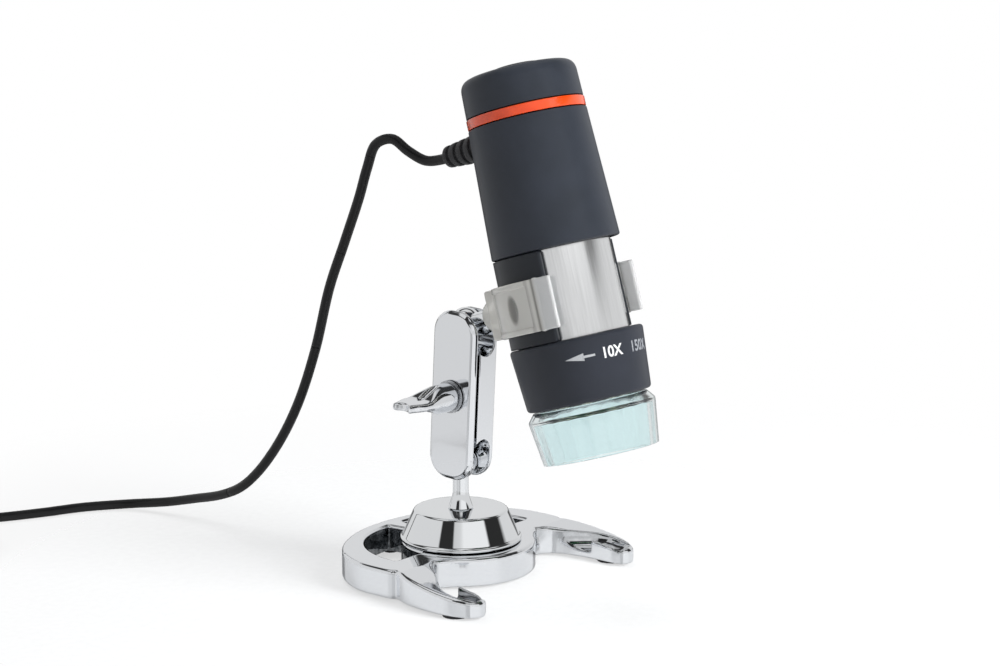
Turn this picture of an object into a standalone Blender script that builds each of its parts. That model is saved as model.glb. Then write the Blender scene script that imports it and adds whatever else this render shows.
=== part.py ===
"""Hand-held USB digital microscope in the spring clip of a ball-jointed desk stand.

Metres, +Z up, the bench at Z = 0. The stand's plane of symmetry is X = 0 and its open side faces -Y.
Every place is first worked out from the foot of the stand's stem, and an empty named stand_frame then
puts the whole model over the centre of its own outline.
"""
import bmesh
import bpy
import numpy as np
from math import atan2, ceil, cos, pi, radians, sin, sqrt
from mathutils import Matrix, Vector

# Clearances and shared values
GAP = 0.0003
OVERRUN = 0.002
WELD = 0.000001
ROUND = 28
MEDIUM_ROUND = 20
SMALL_ROUND = 14
TINY_ROUND = 8
SRGB_OFFSET = 0.055
SRGB_POWER = 2.4

# Attitude of the photographed pose
ARM_LEAN = radians(3.1)
TUBE_LEAN = radians(16.4)

# Base casting
BASE_LIFT = 0.0008
BASE_TOP = 0.0092
BASE_HALF_WIDTH = 0.0385
BASE_BACK = 0.031
BASE_EDGE = 0.0006
DISC_RADIUS = 0.022
LEG_HALF_SPREAD = 0.040
LEG_REACH = 0.0376
LEG_TIP_HEIGHT = 0.0052
LEG_SLOPE_START = 0.010
LEG_ROOT_HALF_SPREAD = 0.0235
LEG_OUTLINE_SHARES = (
    (0.925, 0.23),
    (0.975, 0.36),
    (1.0, 0.55),
    (0.995, 0.73),
    (0.965, 0.87),
    (0.91, 0.965),
    (0.845, 1.0),
    (0.785, 0.965),
    (0.755, 0.88),
    (0.75, 0.73),
    (0.74, 0.57),
    (0.715, 0.43),
    (0.67, 0.34),
    (0.61, 0.29),
)
SCOOP_SHARES = (0.78, 0.76)
SCOOP_HALF_WIDTH = 0.0038
SCOOP_HALF_LENGTH = 0.0072
SCOOP_DEPTH = 0.0034
WINDOW_BACK_RADIUS = 0.0256
WINDOW_SIDE_RADIUS = 0.0288
WINDOW_INNER_RADIUS = 0.0182
WINDOW_SWEEPS = (radians(7.5), radians(91))
WINDOW_CORNER = 0.0026

# Rubber pads under the base
FRONT_PAD_RADIUS = 0.0038
REAR_PAD_RADIUS = 0.0022
PAD_HEIGHT = 0.0018
FRONT_PAD_SHARES = (0.875, 0.76)

# Cone cap over the base
CONE_RIM_RADIUS = 0.0179
CONE_RIM_HEIGHT = 0.0007
CONE_FOOT_RADIUS = 0.0173
CONE_TOP_RADIUS = 0.0138
CONE_TOP_Z = 0.0185
CONE_WALL = 0.0013
CONE_EDGE = 0.0004

# Post and its screw
STEM_RADIUS = 0.0023
STEM_FOOT_RADIUS = 0.0037
STEM_FLARE_HEIGHT = 0.0055
STEM_FLARE_SHARES = (1.0, 0.66, 0.33, 0.1)
SPIGOT_RADIUS = 0.0027
SPIGOT_DEPTH = 0.0042
BALL_RADIUS = 0.0046
LOWER_BALL_Z = 0.032
POST_SCREW_RADIUS = 0.0014
POST_SCREW_HEAD_RADIUS = 0.0028
POST_SCREW_HEAD_HEIGHT = 0.0016
POST_SCREW_REACH = 0.0055

# Clamping arm
BALL_SPAN = 0.042
JAW_WIDTH = 0.0162
JAW_END = 0.004
JAW_CORNER = 0.0065
JAW_STACK = 0.0113
JAW_PARTING = 0.0012
JAW_PARTING_OFFSET = 0.0032
JAW_BEVEL = 0.0011
SLOT_WIDTH = 0.007
SLOT_PAST_BALL = 0.0085
SCREW_RADIUS = 0.002
SPRING_POCKET_RADIUS = 0.0042
SPRING_POCKET_DEPTH = 0.0042
SPRING_WIRE_RADIUS = 0.0003
SPRING_TURNS = 3.5
NUT_FLATS = 0.007
NUT_HEIGHT = 0.0026
WASHER_RADIUS = 0.0048
WASHER_THICKNESS = 0.0006

# Wing of the clamping screw
HUB_RADIUS = 0.0042
WING_LENGTH = 0.0205
WING_HALF_WIDTH = 0.0053
WING_HALF_THICKNESS = 0.0009
WING_END_NOTCH = 0.0022
WING_STATION_SHARES = (
    (0.0, 1.0, 0.0),
    (0.07, 1.0, 0.0),
    (0.24, 1.0, 0.0),
    (0.34, 0.8, 0.3),
    (0.46, 0.5, 0.55),
    (0.62, 0.2, 0.8),
    (0.8, 0.0, 1.0),
    (0.96, 0.0, 1.0),
)

# Clip that holds the microscope
CLIP_REACH = 0.0387
CLIP_BELOW_SHELL = 0.0144
CLIP_HEIGHT = 0.0143
CLIP_BORE_RADIUS = 0.0185
CLIP_WALL = 0.0017
CLIP_ARM_SWEEP = radians(108)
CLIP_LIP_SWEEP = radians(119)
CLIP_LIP_RADIUS = 0.0218
CLIP_LIP_THICKNESS = 0.0014
CLIP_BLOCK_HALF_WIDTH = 0.009
CLIP_BLOCK_BACK = 0.022
CLIP_PANEL_SWEEPS = (radians(36), radians(98))
CLIP_PANEL_DEPTH = 0.0005
CLIP_PANEL_BORDER = 0.0016
BOSS_ROOT_RADIUS = 0.007
BOSS_END_RADIUS = 0.0043
BOSS_END = 0.0287
STUD_SOCKET_DEPTH = 0.006

# Microscope housing, stations measured along the tube axis from the middle of its top
CAP_RADIUS = 0.0163
CAP_FOOT_RADIUS = 0.0166
CAP_CROWN = 0.0009
CAP_CORNER = 0.0032
CAP_LENGTH = 0.0118
CAP_WALL = 0.0017
ACCENT_RADIUS = 0.01675
ACCENT_HEIGHT = 0.0027
ACCENT_BORE_RADIUS = 0.0125
SHELL_TOP_RADIUS = 0.0168
SHELL_FOOT_RADIUS = 0.0182
SHELL_LENGTH = 0.0366
SHELL_WALL = 0.0015
SHELL_EDGE = 0.0007
NECK_TOP_RADIUS = 0.018
NECK_FOOT_RADIUS = 0.0183
NECK_BORE_RADIUS = 0.0156
NECK_COLLAR_BORE_RADIUS = 0.0144
NECK_SPIGOT_RADIUS = 0.0161
NECK_SPIGOT_STEP = 0.004
NECK_TOP_REACH = 0.0166
NECK_LENGTH = 0.0253
NECK_COLLAR = 0.0005
NECK_WINDOW_HALF_SWEEP = radians(66)
WHEEL_RADIUS = 0.0153
WHEEL_BORE_RADIUS = 0.0138
WHEEL_EDGE = 0.0004
CUP_LENGTH = 0.0178
CUP_TOP_RADIUS = 0.0189
CUP_FOOT_RADIUS = 0.0175
CUP_TOP_CORNER = 0.0018
CUP_FOOT_CORNER = 0.0021
CUP_WALL = 0.0017
NOSE_NECK_RADIUS = 0.016
NOSE_SHOULDER_RADIUS = 0.0179
NOSE_NECK_LENGTH = 0.0027
NOSE_SHOULDER_EDGE = 0.0007
NOSE_LENGTH = 0.0152
NOSE_TIP_RADIUS = 0.0163
NOSE_WALL = 0.0012
NOSE_SPIGOT_LENGTH = 0.0038

# Parts inside the microscope
BOARD_THICKNESS = 0.0012
LED_BOARD_BORE_RADIUS = 0.0055
LED_COUNT = 8
LED_RADIUS = 0.0015
LED_LENGTH = 0.003
LED_CIRCLE_RADIUS = 0.0098
SENSOR_SIDE = 0.008
SENSOR_HEIGHT = 0.0012
CHIP_SIDE = 0.007
CHIP_HEIGHT = 0.001
BOARD_SCREW_COUNT = 3
BOARD_SCREW_RADIUS = 0.0009
BOARD_SCREW_HEAD_RADIUS = 0.0016
BOARD_SCREW_HEAD_HEIGHT = 0.0012
BOARD_SCREW_REACH = 0.0045
BOSS_RADIUS = 0.002
BOSS_LENGTH = 0.006
CARRIER_BELOW_SHELL = 0.0094
CARRIER_FLANGE_RADIUS = 0.0134
CARRIER_FLANGE_LENGTH = 0.005
CARRIER_BARREL_RADIUS = 0.0075
CARRIER_LENGTH = 0.0105
CARRIER_THROAT_RADIUS = 0.0048
LENS_RADIUS = 0.0058
LENS_EDGE = 0.0016
LENS_BULGE = 0.0006
BUTTON_RADIUS = 0.0071
BUTTON_PROUD = 0.0004
BUTTON_FLANGE_RADIUS = 0.0084
BUTTON_FLANGE = 0.0009
BUTTON_CORNER = 0.0006
BUTTON_STEM_RADIUS = 0.0016
BUTTON_TRAVEL = 0.0008
BUTTON_STEM_ENGAGE = 0.001
SWITCH_SIDE = 0.006
SWITCH_HEIGHT = 0.0035

# Strain relief
RELIEF_STATION = 0.0184
RELIEF_RADIUS = 0.0043
RELIEF_TIP_RADIUS = 0.0031
RELIEF_LENGTH = 0.014
RELIEF_RIBS = 4
RELIEF_GROOVE_DEPTH = 0.0008
RELIEF_NECK_RADIUS = 0.0029
RELIEF_FLANGE_RADIUS = 0.0038
RELIEF_FLANGE = 0.0012

# Cord, coil and plug
CORD_DIAMETER = 0.003
CORD_POINT_SPACING = 0.0046
COIL_TURNS = 10.25
COIL_LAYERS = 4
COIL_LOOP_POINTS = 24
COIL_MID_RADIUS = 0.01742
COIL_AIR = 0.0006
GAP_SAMPLES = 5
GAP_NEIGHBOUR_DIAMETERS = 6
TAIL_STRAIGHT = 0.012
TAIL_DROP_LENGTH = 0.026
TAIL_POINTS = 7
TIE_THICKNESS = 0.0008
TIE_WIDTH = 0.006
TIE_ANGLE = radians(-100)
PLUG_HEIGHT = 0.008
PLUG_WIDTH = 0.0155
PLUG_LENGTH = 0.022
PLUG_CORNER = 0.0014
PLUG_RELIEF_LENGTH = 0.009
PLUG_RELIEF_RADIUS = 0.0029
PLUG_RELIEF_TIP_RADIUS = 0.0022
PLUG_SHELL_WIDTH = 0.012
PLUG_SHELL_HEIGHT = 0.0045
PLUG_SHELL_LENGTH = 0.0187
PLUG_SHELL_SEAT = 0.003
PLUG_SHELL_WALL = 0.0004
TONGUE_WIDTH = 0.0102
TONGUE_THICKNESS = 0.0019
TONGUE_LENGTH = 0.0162

# Route of the cord's free stretch, from the stem's foot: chosen by hand along the photographed line
CORD_ROUTE = (
    (-0.0006, 0.0126, 0.1200),
    (-0.0020, 0.0180, 0.1225),
    (-0.0032, 0.0232, 0.1258),
    (-0.0042, 0.0288, 0.1240),
    (-0.0048, 0.0318, 0.1170),
    (-0.0056, 0.0345, 0.1080),
    (-0.0068, 0.0395, 0.0945),
    (-0.0078, 0.0450, 0.0805),
    (-0.0088, 0.0505, 0.0608),
    (-0.0100, 0.0568, 0.0440),
    (-0.0112, 0.0640, 0.0310),
    (-0.0124, 0.0722, 0.0205),
    (-0.0130, 0.0800, 0.0140),
    (-0.0132, 0.0890, 0.0100),
    (-0.0134, 0.1010, 0.0068),
    (-0.0152, 0.1130, 0.0040),
    (-0.0200, 0.1260, 0.0021),
    (-0.0310, 0.1350, 0.0017),
    (-0.0440, 0.1400, 0.0017),
    (-0.0580, 0.1462, 0.0018),
)
CORD_RUN_PAST_VIEW = 0.0275


# Places worked out from the driving sizes
def along_arm(distance):
    return Vector((0, -sin(ARM_LEAN) * distance, LOWER_BALL_Z + cos(ARM_LEAN) * distance))


SHELL_START = CAP_LENGTH + ACCENT_HEIGHT + GAP
SHELL_FOOT = SHELL_START + SHELL_LENGTH
NECK_TOP = SHELL_FOOT - NECK_TOP_REACH
CUP_TOP = SHELL_FOOT + NECK_LENGTH
CUP_FOOT = CUP_TOP + CUP_LENGTH
NOSE_SHOULDER = CUP_FOOT + NOSE_NECK_LENGTH
TUBE_LENGTH = CUP_FOOT + NOSE_LENGTH
NECK_FOOT = CUP_FOOT - NOSE_SPIGOT_LENGTH - BOARD_THICKNESS - 2 * GAP
CLIP_STATION = SHELL_FOOT + CLIP_BELOW_SHELL
CARRIER_STATION = SHELL_FOOT + CARRIER_BELOW_SHELL
CORD_RADIUS = CORD_DIAMETER / 2
TUBE_UP = Vector((0, sin(TUBE_LEAN), cos(TUBE_LEAN)))
TUBE_BACK = Vector((0, cos(TUBE_LEAN), -sin(TUBE_LEAN)))
LOWER_BALL = Vector((0, 0, LOWER_BALL_Z))
UPPER_BALL = along_arm(BALL_SPAN)
CLIP_CENTRE = UPPER_BALL - TUBE_BACK * CLIP_REACH
TUBE_TOP = CLIP_CENTRE + TUBE_UP * CLIP_STATION
NOSE_FRONT = (TUBE_TOP - TUBE_UP * TUBE_LENGTH - TUBE_BACK * NOSE_TIP_RADIUS).y
ORIGIN_SHIFT = -(NOSE_FRONT + BASE_BACK) / 2
JAW_FACE = JAW_STACK / 2
NEAR_JAW_INNER = -JAW_PARTING_OFFSET - JAW_PARTING / 2
FAR_JAW_INNER = -JAW_PARTING_OFFSET + JAW_PARTING / 2
SPRING_FLOOR = FAR_JAW_INNER + SPRING_POCKET_DEPTH
WASHER_FACE = JAW_FACE + GAP + WASHER_THICKNESS


def srgb(red, green, blue):
    """The linear colour of three 0 to 255 values, all above the curve's straight foot."""
    return tuple(((c / 255 + SRGB_OFFSET) / (1 + SRGB_OFFSET)) ** SRGB_POWER for c in (red, green, blue))


def material(name, colour, roughness, metallic=0.0, alpha=1.0):
    made = bpy.data.materials.new(name)
    made.use_nodes = True
    shader = made.node_tree.nodes["Principled BSDF"]
    shader.inputs["Base Color"].default_value = (*colour, 1.0)
    shader.inputs["Roughness"].default_value = roughness
    shader.inputs["Metallic"].default_value = metallic
    shader.inputs["Alpha"].default_value = alpha
    made.diffuse_color = (*colour, alpha)
    return made


CHROME = srgb(214, 217, 221)
STEEL = srgb(176, 178, 181)
HOUSING_GREY = srgb(58, 61, 69)
ORANGE = srgb(240, 90, 36)
SATIN_SILVER = srgb(196, 198, 200)
CLEAR_TEAL = srgb(168, 214, 214)
CLIP_GREY = srgb(206, 205, 200)
BLACK_RUBBER = srgb(24, 24, 26)
BOARD_GREEN = srgb(28, 84, 52)
CHIP_BLACK = srgb(30, 30, 33)
LED_WHITE = srgb(238, 240, 236)
LENS_GLASS = srgb(190, 210, 225)
PLUG_WHITE = srgb(232, 232, 228)


def empty(name, parent=None, location=(0, 0, 0), lean=0.0):
    made = bpy.data.objects.new(name, None)
    bpy.context.scene.collection.objects.link(made)
    made.parent = parent
    made.location = location
    made.rotation_euler = (lean, 0, 0)
    return made


def finish(name, mesh, parent, colour, roughness, metallic=0.0, alpha=1.0):
    """A node: its mesh, parent, smooth shading and material."""
    made = bpy.data.objects.new(name, mesh)
    bpy.context.scene.collection.objects.link(made)
    made.parent = parent
    mesh.materials.append(material(name + "_finish", colour, roughness, metallic, alpha))
    mesh.shade_smooth()
    mesh.set_sharp_from_angle(angle=radians(30))
    return made


def cutter(name, mesh, parent):
    """A tool body for a Boolean: never rendered and never a node."""
    made = bpy.data.objects.new(name, mesh)
    bpy.context.scene.collection.objects.link(made)
    made.parent = parent
    made.hide_render = True
    made.display_type = "WIRE"
    return made


def boolean(body, tool, operation="DIFFERENCE"):
    made = body.modifiers.new(tool.name, "BOOLEAN")
    made.operation = operation
    made.solver = "EXACT"
    made.object = tool


def to_mesh(name, bm):
    """Closes a bmesh: doubles merged and faces turned outwards."""
    bmesh.ops.remove_doubles(bm, verts=bm.verts, dist=WELD)
    bmesh.ops.recalc_face_normals(bm, faces=bm.faces)
    mesh = bpy.data.meshes.new(name)
    bm.to_mesh(mesh)
    bm.free()
    return mesh


def turned(name, profile, steps=ROUND, axis="Z", closed=True):
    """A profile of (radius, height) points spun once round the axis.

    A closed profile makes a ring; an open one starts and ends on the axis.
    """
    bm = bmesh.new()
    verts = [bm.verts.new((radius, 0, height)) for radius, height in profile]
    edges = [bm.edges.new(pair) for pair in zip(verts, verts[1:])]
    if closed:
        edges.append(bm.edges.new((verts[-1], verts[0])))
    bmesh.ops.spin(bm, geom=verts + edges, cent=(0, 0, 0), axis=(0, 0, 1), angle=2 * pi, steps=steps)
    if axis == "X":
        bm.transform(Matrix.Rotation(pi / 2, 4, "Y"))
    if axis == "Y":
        bm.transform(Matrix.Rotation(-pi / 2, 4, "X"))
    return to_mesh(name, bm)


def prism(name, outline, low, high, axis="Z", bevel=0.0, bevel_side=None, corner_radius=0.0):
    """An outline pushed out between two heights along an axis.

    For Z the outline is (x, y), for X it is (y, z) and for Y it is (x, z). bevel_side picks the end
    whose rim is bevelled: -1 the low one, 1 the high one and 0 both. corner_radius rounds the outline's
    sharp corners.
    """
    place = {
        "X": lambda a, b, c: (c, a, b),
        "Y": lambda a, b, c: (a, c, b),
        "Z": lambda a, b, c: (a, b, c),
    }[axis]
    bm = bmesh.new()
    lower = [bm.verts.new(place(a, b, low)) for a, b in outline]
    upper = [bm.verts.new(place(a, b, high)) for a, b in outline]
    ends = {-1: bm.faces.new(lower), 1: bm.faces.new(upper)}
    count = len(outline)
    for i in range(count):
        j = (i + 1) % count
        bm.faces.new((lower[i], lower[j], upper[j], upper[i]))
    bmesh.ops.recalc_face_normals(bm, faces=bm.faces)
    if corner_radius:
        rims = {edge for face in ends.values() for edge in face.edges}
        sharp = [edge for edge in bm.edges if edge not in rims and edge.calc_face_angle() > pi / 4]
        bmesh.ops.bevel(bm, geom=sharp, offset=corner_radius, segments=4, profile=0.5, affect="EDGES")
    if bevel_side is not None:
        chosen = [ends[side] for side in (-1, 1) if bevel_side in (0, side)]
        rims = list({edge for face in chosen for edge in face.edges})
        bmesh.ops.bevel(bm, geom=rims, offset=bevel, segments=2, profile=0.5, affect="EDGES")
    return to_mesh(name, bm)


def block(name, low, high, bevel=0.0):
    """A box between two corners, its edges bevelled if asked."""
    bm = bmesh.new()
    size = Vector(high) - Vector(low)
    middle = (Vector(high) + Vector(low)) / 2
    bmesh.ops.create_cube(bm, size=1.0, matrix=Matrix.Translation(middle) @ Matrix.Diagonal((*size, 1)))
    if bevel:
        bmesh.ops.bevel(bm, geom=bm.edges[:], offset=bevel, segments=2, profile=0.5, affect="EDGES")
    return to_mesh(name, bm)


def sphere(name, radius, centre=(0, 0, 0), stretch=(1, 1, 1), steps=MEDIUM_ROUND):
    bm = bmesh.new()
    place = Matrix.Translation(centre) @ Matrix.Diagonal((*stretch, 1))
    bmesh.ops.create_uvsphere(bm, u_segments=steps, v_segments=steps // 2, radius=radius, matrix=place)
    return to_mesh(name, bm)


def arc(centre, radius, start, end, count):
    """count points from one angle to another, both ends included."""
    angles = [start + (end - start) * i / (count - 1) for i in range(count)]
    return [(centre[0] + radius * cos(a), centre[1] + radius * sin(a)) for a in angles]


def rounded_box(half_a, low_b, high_b, corner, count=5):
    """The outline of a rectangle with round corners, symmetric in its first direction."""
    side = half_a - corner
    return (
        arc((side, high_b - corner), corner, 0, pi / 2, count)
        + arc((-side, high_b - corner), corner, pi / 2, pi, count)
        + arc((-side, low_b + corner), corner, pi, 1.5 * pi, count)
        + arc((side, low_b + corner), corner, 1.5 * pi, 2 * pi, count)
    )


def ball_profile(radius, neck_radius, centre, upward, count=12):
    """Profile points of a ball from its far pole to where a neck of neck_radius meets it."""
    start = pi / 2
    end = -pi / 2 + atan2(neck_radius, sqrt(radius * radius - neck_radius * neck_radius))
    sign = 1 if upward else -1
    angles = [start + (end - start) * i / (count - 1) for i in range(count)]
    return [(max(radius * cos(a), 0.0), centre + sign * radius * sin(a)) for a in angles]


# Base and what stands on it
def base_outline():
    """Half ellipse behind, a leg on each side and the round disc in front, anticlockwise from the back."""
    back_count = 13
    half = []
    for i in range(back_count):
        angle = pi / 2 * i / (back_count - 1)
        half.append((BASE_HALF_WIDTH * sin(angle), BASE_BACK * cos(angle)))
    half += [(LEG_HALF_SPREAD * across, -LEG_REACH * ahead) for across, ahead in LEG_OUTLINE_SHARES]
    half += arc((0, 0), DISC_RADIUS, radians(-28), radians(-90), 9)
    other = [(-x, y) for x, y in reversed(half[1:-1])]
    return (half + other)[::-1]


def window_outline(side):
    """One of the two openings beside the cone: an inner and an outer arc, with a bridge left at the back."""
    count = 12
    first, last = WINDOW_SWEEPS
    sweeps = [first + (last - first) * i / (count - 1) for i in range(count)]
    bulge = WINDOW_SIDE_RADIUS - WINDOW_BACK_RADIUS
    outer = [WINDOW_BACK_RADIUS + bulge * sin(a) for a in sweeps]
    points = [(side * radius * sin(a), radius * cos(a)) for radius, a in zip(outer, sweeps)]
    inner = WINDOW_INNER_RADIUS
    return points + [(side * inner * sin(a), inner * cos(a)) for a in reversed(sweeps)]


def pad_place():
    return LEG_HALF_SPREAD * FRONT_PAD_SHARES[0], -LEG_REACH * FRONT_PAD_SHARES[1]


def rear_pad_place():
    return 0, (WINDOW_BACK_RADIUS + BASE_BACK) / 2


def make_base(parent):
    outline = base_outline()
    base = finish("base", prism("base", outline, BASE_LIFT, BASE_TOP, bevel=BASE_EDGE, bevel_side=0),
                  parent, CHROME, 0.06, 1.0)
    slope = [
        (-LEG_SLOPE_START, BASE_TOP),
        (-LEG_REACH - OVERRUN, LEG_TIP_HEIGHT),
        (-LEG_REACH - OVERRUN, BASE_TOP + OVERRUN),
        (-LEG_SLOPE_START, BASE_TOP + OVERRUN),
    ]
    for side, word in ((-1, "near"), (1, "far")):
        window = prism("window", window_outline(side), BASE_LIFT - OVERRUN, BASE_TOP + OVERRUN,
                       corner_radius=WINDOW_CORNER)
        boolean(base, cutter(f"cut_window_{word}", window, parent))
        ends = sorted((side * LEG_ROOT_HALF_SPREAD, side * (LEG_HALF_SPREAD + OVERRUN)))
        boolean(base, cutter(f"cut_slope_{word}", prism("slope", slope, *ends, axis="X"), parent))
        place = (side * LEG_HALF_SPREAD * SCOOP_SHARES[0], -LEG_REACH * SCOOP_SHARES[1], LEG_TIP_HEIGHT + GAP)
        stretch = (SCOOP_HALF_WIDTH / SCOOP_DEPTH, SCOOP_HALF_LENGTH / SCOOP_DEPTH, 1)
        scoop = sphere("scoop", SCOOP_DEPTH, place, stretch, SMALL_ROUND)
        boolean(base, cutter(f"cut_scoop_{word}", scoop, parent))
    spots = [(side * pad_place()[0], pad_place()[1], FRONT_PAD_RADIUS) for side in (-1, 1)]
    spots.append((*rear_pad_place(), REAR_PAD_RADIUS))
    for i, (x, y, radius) in enumerate(spots):
        hole = arc((x, y), radius + GAP, 0, 2 * pi, SMALL_ROUND + 1)[:-1]
        seat = prism("seat", hole, BASE_LIFT - OVERRUN, PAD_HEIGHT + GAP)
        boolean(base, cutter(f"cut_pad_seat_{i}", seat, parent))
    head_radius = POST_SCREW_HEAD_RADIUS + GAP
    shaft_radius = POST_SCREW_RADIUS + GAP
    head_top = BASE_LIFT + GAP + POST_SCREW_HEAD_HEIGHT + GAP
    spigot_floor = BASE_TOP - SPIGOT_DEPTH
    bore = [
        (0, BASE_LIFT - OVERRUN),
        (head_radius, BASE_LIFT - OVERRUN),
        (head_radius, head_top),
        (shaft_radius, head_top),
        (shaft_radius, spigot_floor),
        (SPIGOT_RADIUS + GAP, spigot_floor),
        (SPIGOT_RADIUS + GAP, BASE_TOP + OVERRUN),
        (0, BASE_TOP + OVERRUN),
    ]
    boolean(base, cutter("cut_post_bore", turned("bore", bore, SMALL_ROUND, closed=False), parent))


def make_pads(parent):
    front_x, front_y = pad_place()
    rear_x, rear_y = rear_pad_place()
    for name, x, y, radius in (
        ("front_pad_near", -front_x, front_y, FRONT_PAD_RADIUS),
        ("front_pad_far", front_x, front_y, FRONT_PAD_RADIUS),
        ("rear_pad", rear_x, rear_y, REAR_PAD_RADIUS),
    ):
        outline = arc((x, y), radius, 0, 2 * pi, SMALL_ROUND + 1)[:-1]
        finish(name, prism(name, outline, 0, PAD_HEIGHT), parent, BLACK_RUBBER, 0.8)


def make_cone_cap(parent):
    foot = BASE_TOP + GAP
    roof = CONE_TOP_Z - CONE_WALL
    profile = [
        (CONE_RIM_RADIUS, foot),
        (CONE_RIM_RADIUS, foot + CONE_RIM_HEIGHT),
        (CONE_FOOT_RADIUS, foot + CONE_RIM_HEIGHT + CONE_EDGE),
        (CONE_TOP_RADIUS, CONE_TOP_Z - CONE_EDGE),
        (CONE_TOP_RADIUS - CONE_EDGE, CONE_TOP_Z),
        (SPIGOT_RADIUS + GAP, CONE_TOP_Z),
        (SPIGOT_RADIUS + GAP, roof),
        (CONE_TOP_RADIUS - CONE_WALL, roof),
        (CONE_FOOT_RADIUS - CONE_WALL, foot),
    ]
    finish("cone_cap", turned("cone_cap", profile), parent, CHROME, 0.05, 1.0)


def make_post(parent):
    """Stem with a ball on top, a flared foot on the cone cap and a spigot down into the base."""
    foot = CONE_TOP_Z + GAP - LOWER_BALL_Z
    spigot_end = BASE_TOP - SPIGOT_DEPTH + GAP - LOWER_BALL_Z
    flare = [
        (STEM_RADIUS + (STEM_FOOT_RADIUS - STEM_RADIUS) * (1 - sin(pi / 2 * t)), foot + STEM_FLARE_HEIGHT * t)
        for t in STEM_FLARE_SHARES
    ]
    hole_top = spigot_end + POST_SCREW_REACH
    profile = ball_profile(BALL_RADIUS, STEM_RADIUS, 0, True) + flare
    profile += [
        (STEM_FOOT_RADIUS, foot),
        (SPIGOT_RADIUS, foot),
        (SPIGOT_RADIUS, spigot_end),
        (POST_SCREW_RADIUS + GAP, spigot_end),
        (POST_SCREW_RADIUS + GAP, hole_top),
        (0, hole_top),
    ]
    finish("post", turned("post", profile, SMALL_ROUND, closed=False), parent, CHROME, 0.05, 1.0)


def make_post_screw(parent):
    low = BASE_LIFT + GAP
    shoulder = low + POST_SCREW_HEAD_HEIGHT
    tip = BASE_TOP - SPIGOT_DEPTH + POST_SCREW_REACH
    profile = [
        (0, low),
        (POST_SCREW_HEAD_RADIUS, low),
        (POST_SCREW_HEAD_RADIUS, shoulder),
        (POST_SCREW_RADIUS, shoulder),
        (POST_SCREW_RADIUS, tip),
        (0, tip),
    ]
    mesh = turned("post_screw", profile, SMALL_ROUND, closed=False)
    screw = finish("post_screw", mesh, parent, STEEL, 0.3, 1.0)
    half = POST_SCREW_RADIUS / 3
    reach = POST_SCREW_HEAD_RADIUS * 0.7
    for word, size in (("x", (reach, half)), ("y", (half, reach))):
        floor = low + POST_SCREW_RADIUS / 2
        slot = block("slot", (-size[0], -size[1], low - OVERRUN), (size[0], size[1], floor))
        boolean(screw, cutter(f"cut_cross_{word}", slot, parent))


# Clamping arm
def jaw_plate(name, side, parent):
    """One of the two plates that grip the balls; side is -1 for the near one and 1 for the far one."""
    inner = NEAR_JAW_INNER if side < 0 else FAR_JAW_INNER
    outline = rounded_box(JAW_WIDTH / 2, -JAW_END, BALL_SPAN + JAW_END, JAW_CORNER, 7)
    low, high = sorted((inner, side * JAW_FACE))
    plate = prism(name, outline, low, high, axis="X", bevel=JAW_BEVEL, bevel_side=side)
    return finish(name, plate, parent, CHROME, 0.05, 1.0)


def screw_bore(jaw, pocket_radius, pocket_floor, parent):
    """The clamping screw's clearance hole, wider from the parting face to the pocket's floor."""
    bore = [
        (0, -JAW_FACE - OVERRUN),
        (pocket_radius, -JAW_FACE - OVERRUN),
        (pocket_radius, pocket_floor),
        (SCREW_RADIUS + GAP, pocket_floor),
        (SCREW_RADIUS + GAP, JAW_FACE + OVERRUN),
        (0, JAW_FACE + OVERRUN),
    ]
    mesh = turned("bore", bore, SMALL_ROUND, axis="X", closed=False)
    tool = cutter(f"cut_{jaw.name}_bore", mesh, parent)
    tool.location.z = BALL_SPAN / 2
    boolean(jaw, tool)


def make_near_jaw(parent):
    """A thin cover with a shallow round seat for each ball."""
    jaw = jaw_plate("near_jaw", -1, parent)
    for word, ball in (("low", 0), ("high", BALL_SPAN)):
        seat = sphere("seat", BALL_RADIUS + GAP, (0, 0, ball))
        boolean(jaw, cutter(f"cut_near_seat_{word}", seat, parent))
    screw_bore(jaw, SCREW_RADIUS + GAP, NEAR_JAW_INNER, parent)


def make_far_jaw(parent):
    """A thick body with round pockets for the balls, slots for their stems and the spring's pocket."""
    jaw = jaw_plate("far_jaw", 1, parent)
    reach = JAW_WIDTH / 2 + OVERRUN
    half = SLOT_WIDTH / 2
    seat_radius = BALL_RADIUS + GAP
    mouth_face = FAR_JAW_INNER - OVERRUN
    for word, ball, away in (("low", 0, -1), ("high", BALL_SPAN, 1)):
        profile = arc((0, 0), seat_radius, pi / 2, 0, 8) + [(seat_radius, mouth_face), (0, mouth_face)]
        mesh = turned("pocket", profile, MEDIUM_ROUND, axis="X", closed=False)
        pocket = cutter(f"cut_far_pocket_{word}", mesh, parent)
        pocket.location.z = ball
        boolean(jaw, pocket)
        root = ball - away * (SLOT_PAST_BALL - half)
        mouth = ball + away * (JAW_END + OVERRUN)
        start = pi if away > 0 else 0
        slot = arc((0, root), half, start, start + pi, 11) + [(half * away, mouth), (-half * away, mouth)]
        boolean(jaw, cutter(f"cut_far_slot_{word}", prism("slot", slot, -reach, reach, axis="Y"), parent))
    screw_bore(jaw, SPRING_POCKET_RADIUS, SPRING_FLOOR, parent)
    corner = (NUT_FLATS / 2 + GAP) / cos(pi / 6)
    hexagon = arc((0, BALL_SPAN / 2), corner, 0, 2 * pi, 7)[:-1]
    nut_floor = JAW_FACE - NUT_HEIGHT - GAP
    seat = prism("seat", hexagon, nut_floor, JAW_FACE + OVERRUN, axis="X")
    boolean(jaw, cutter("cut_nut_seat", seat, parent))


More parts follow.
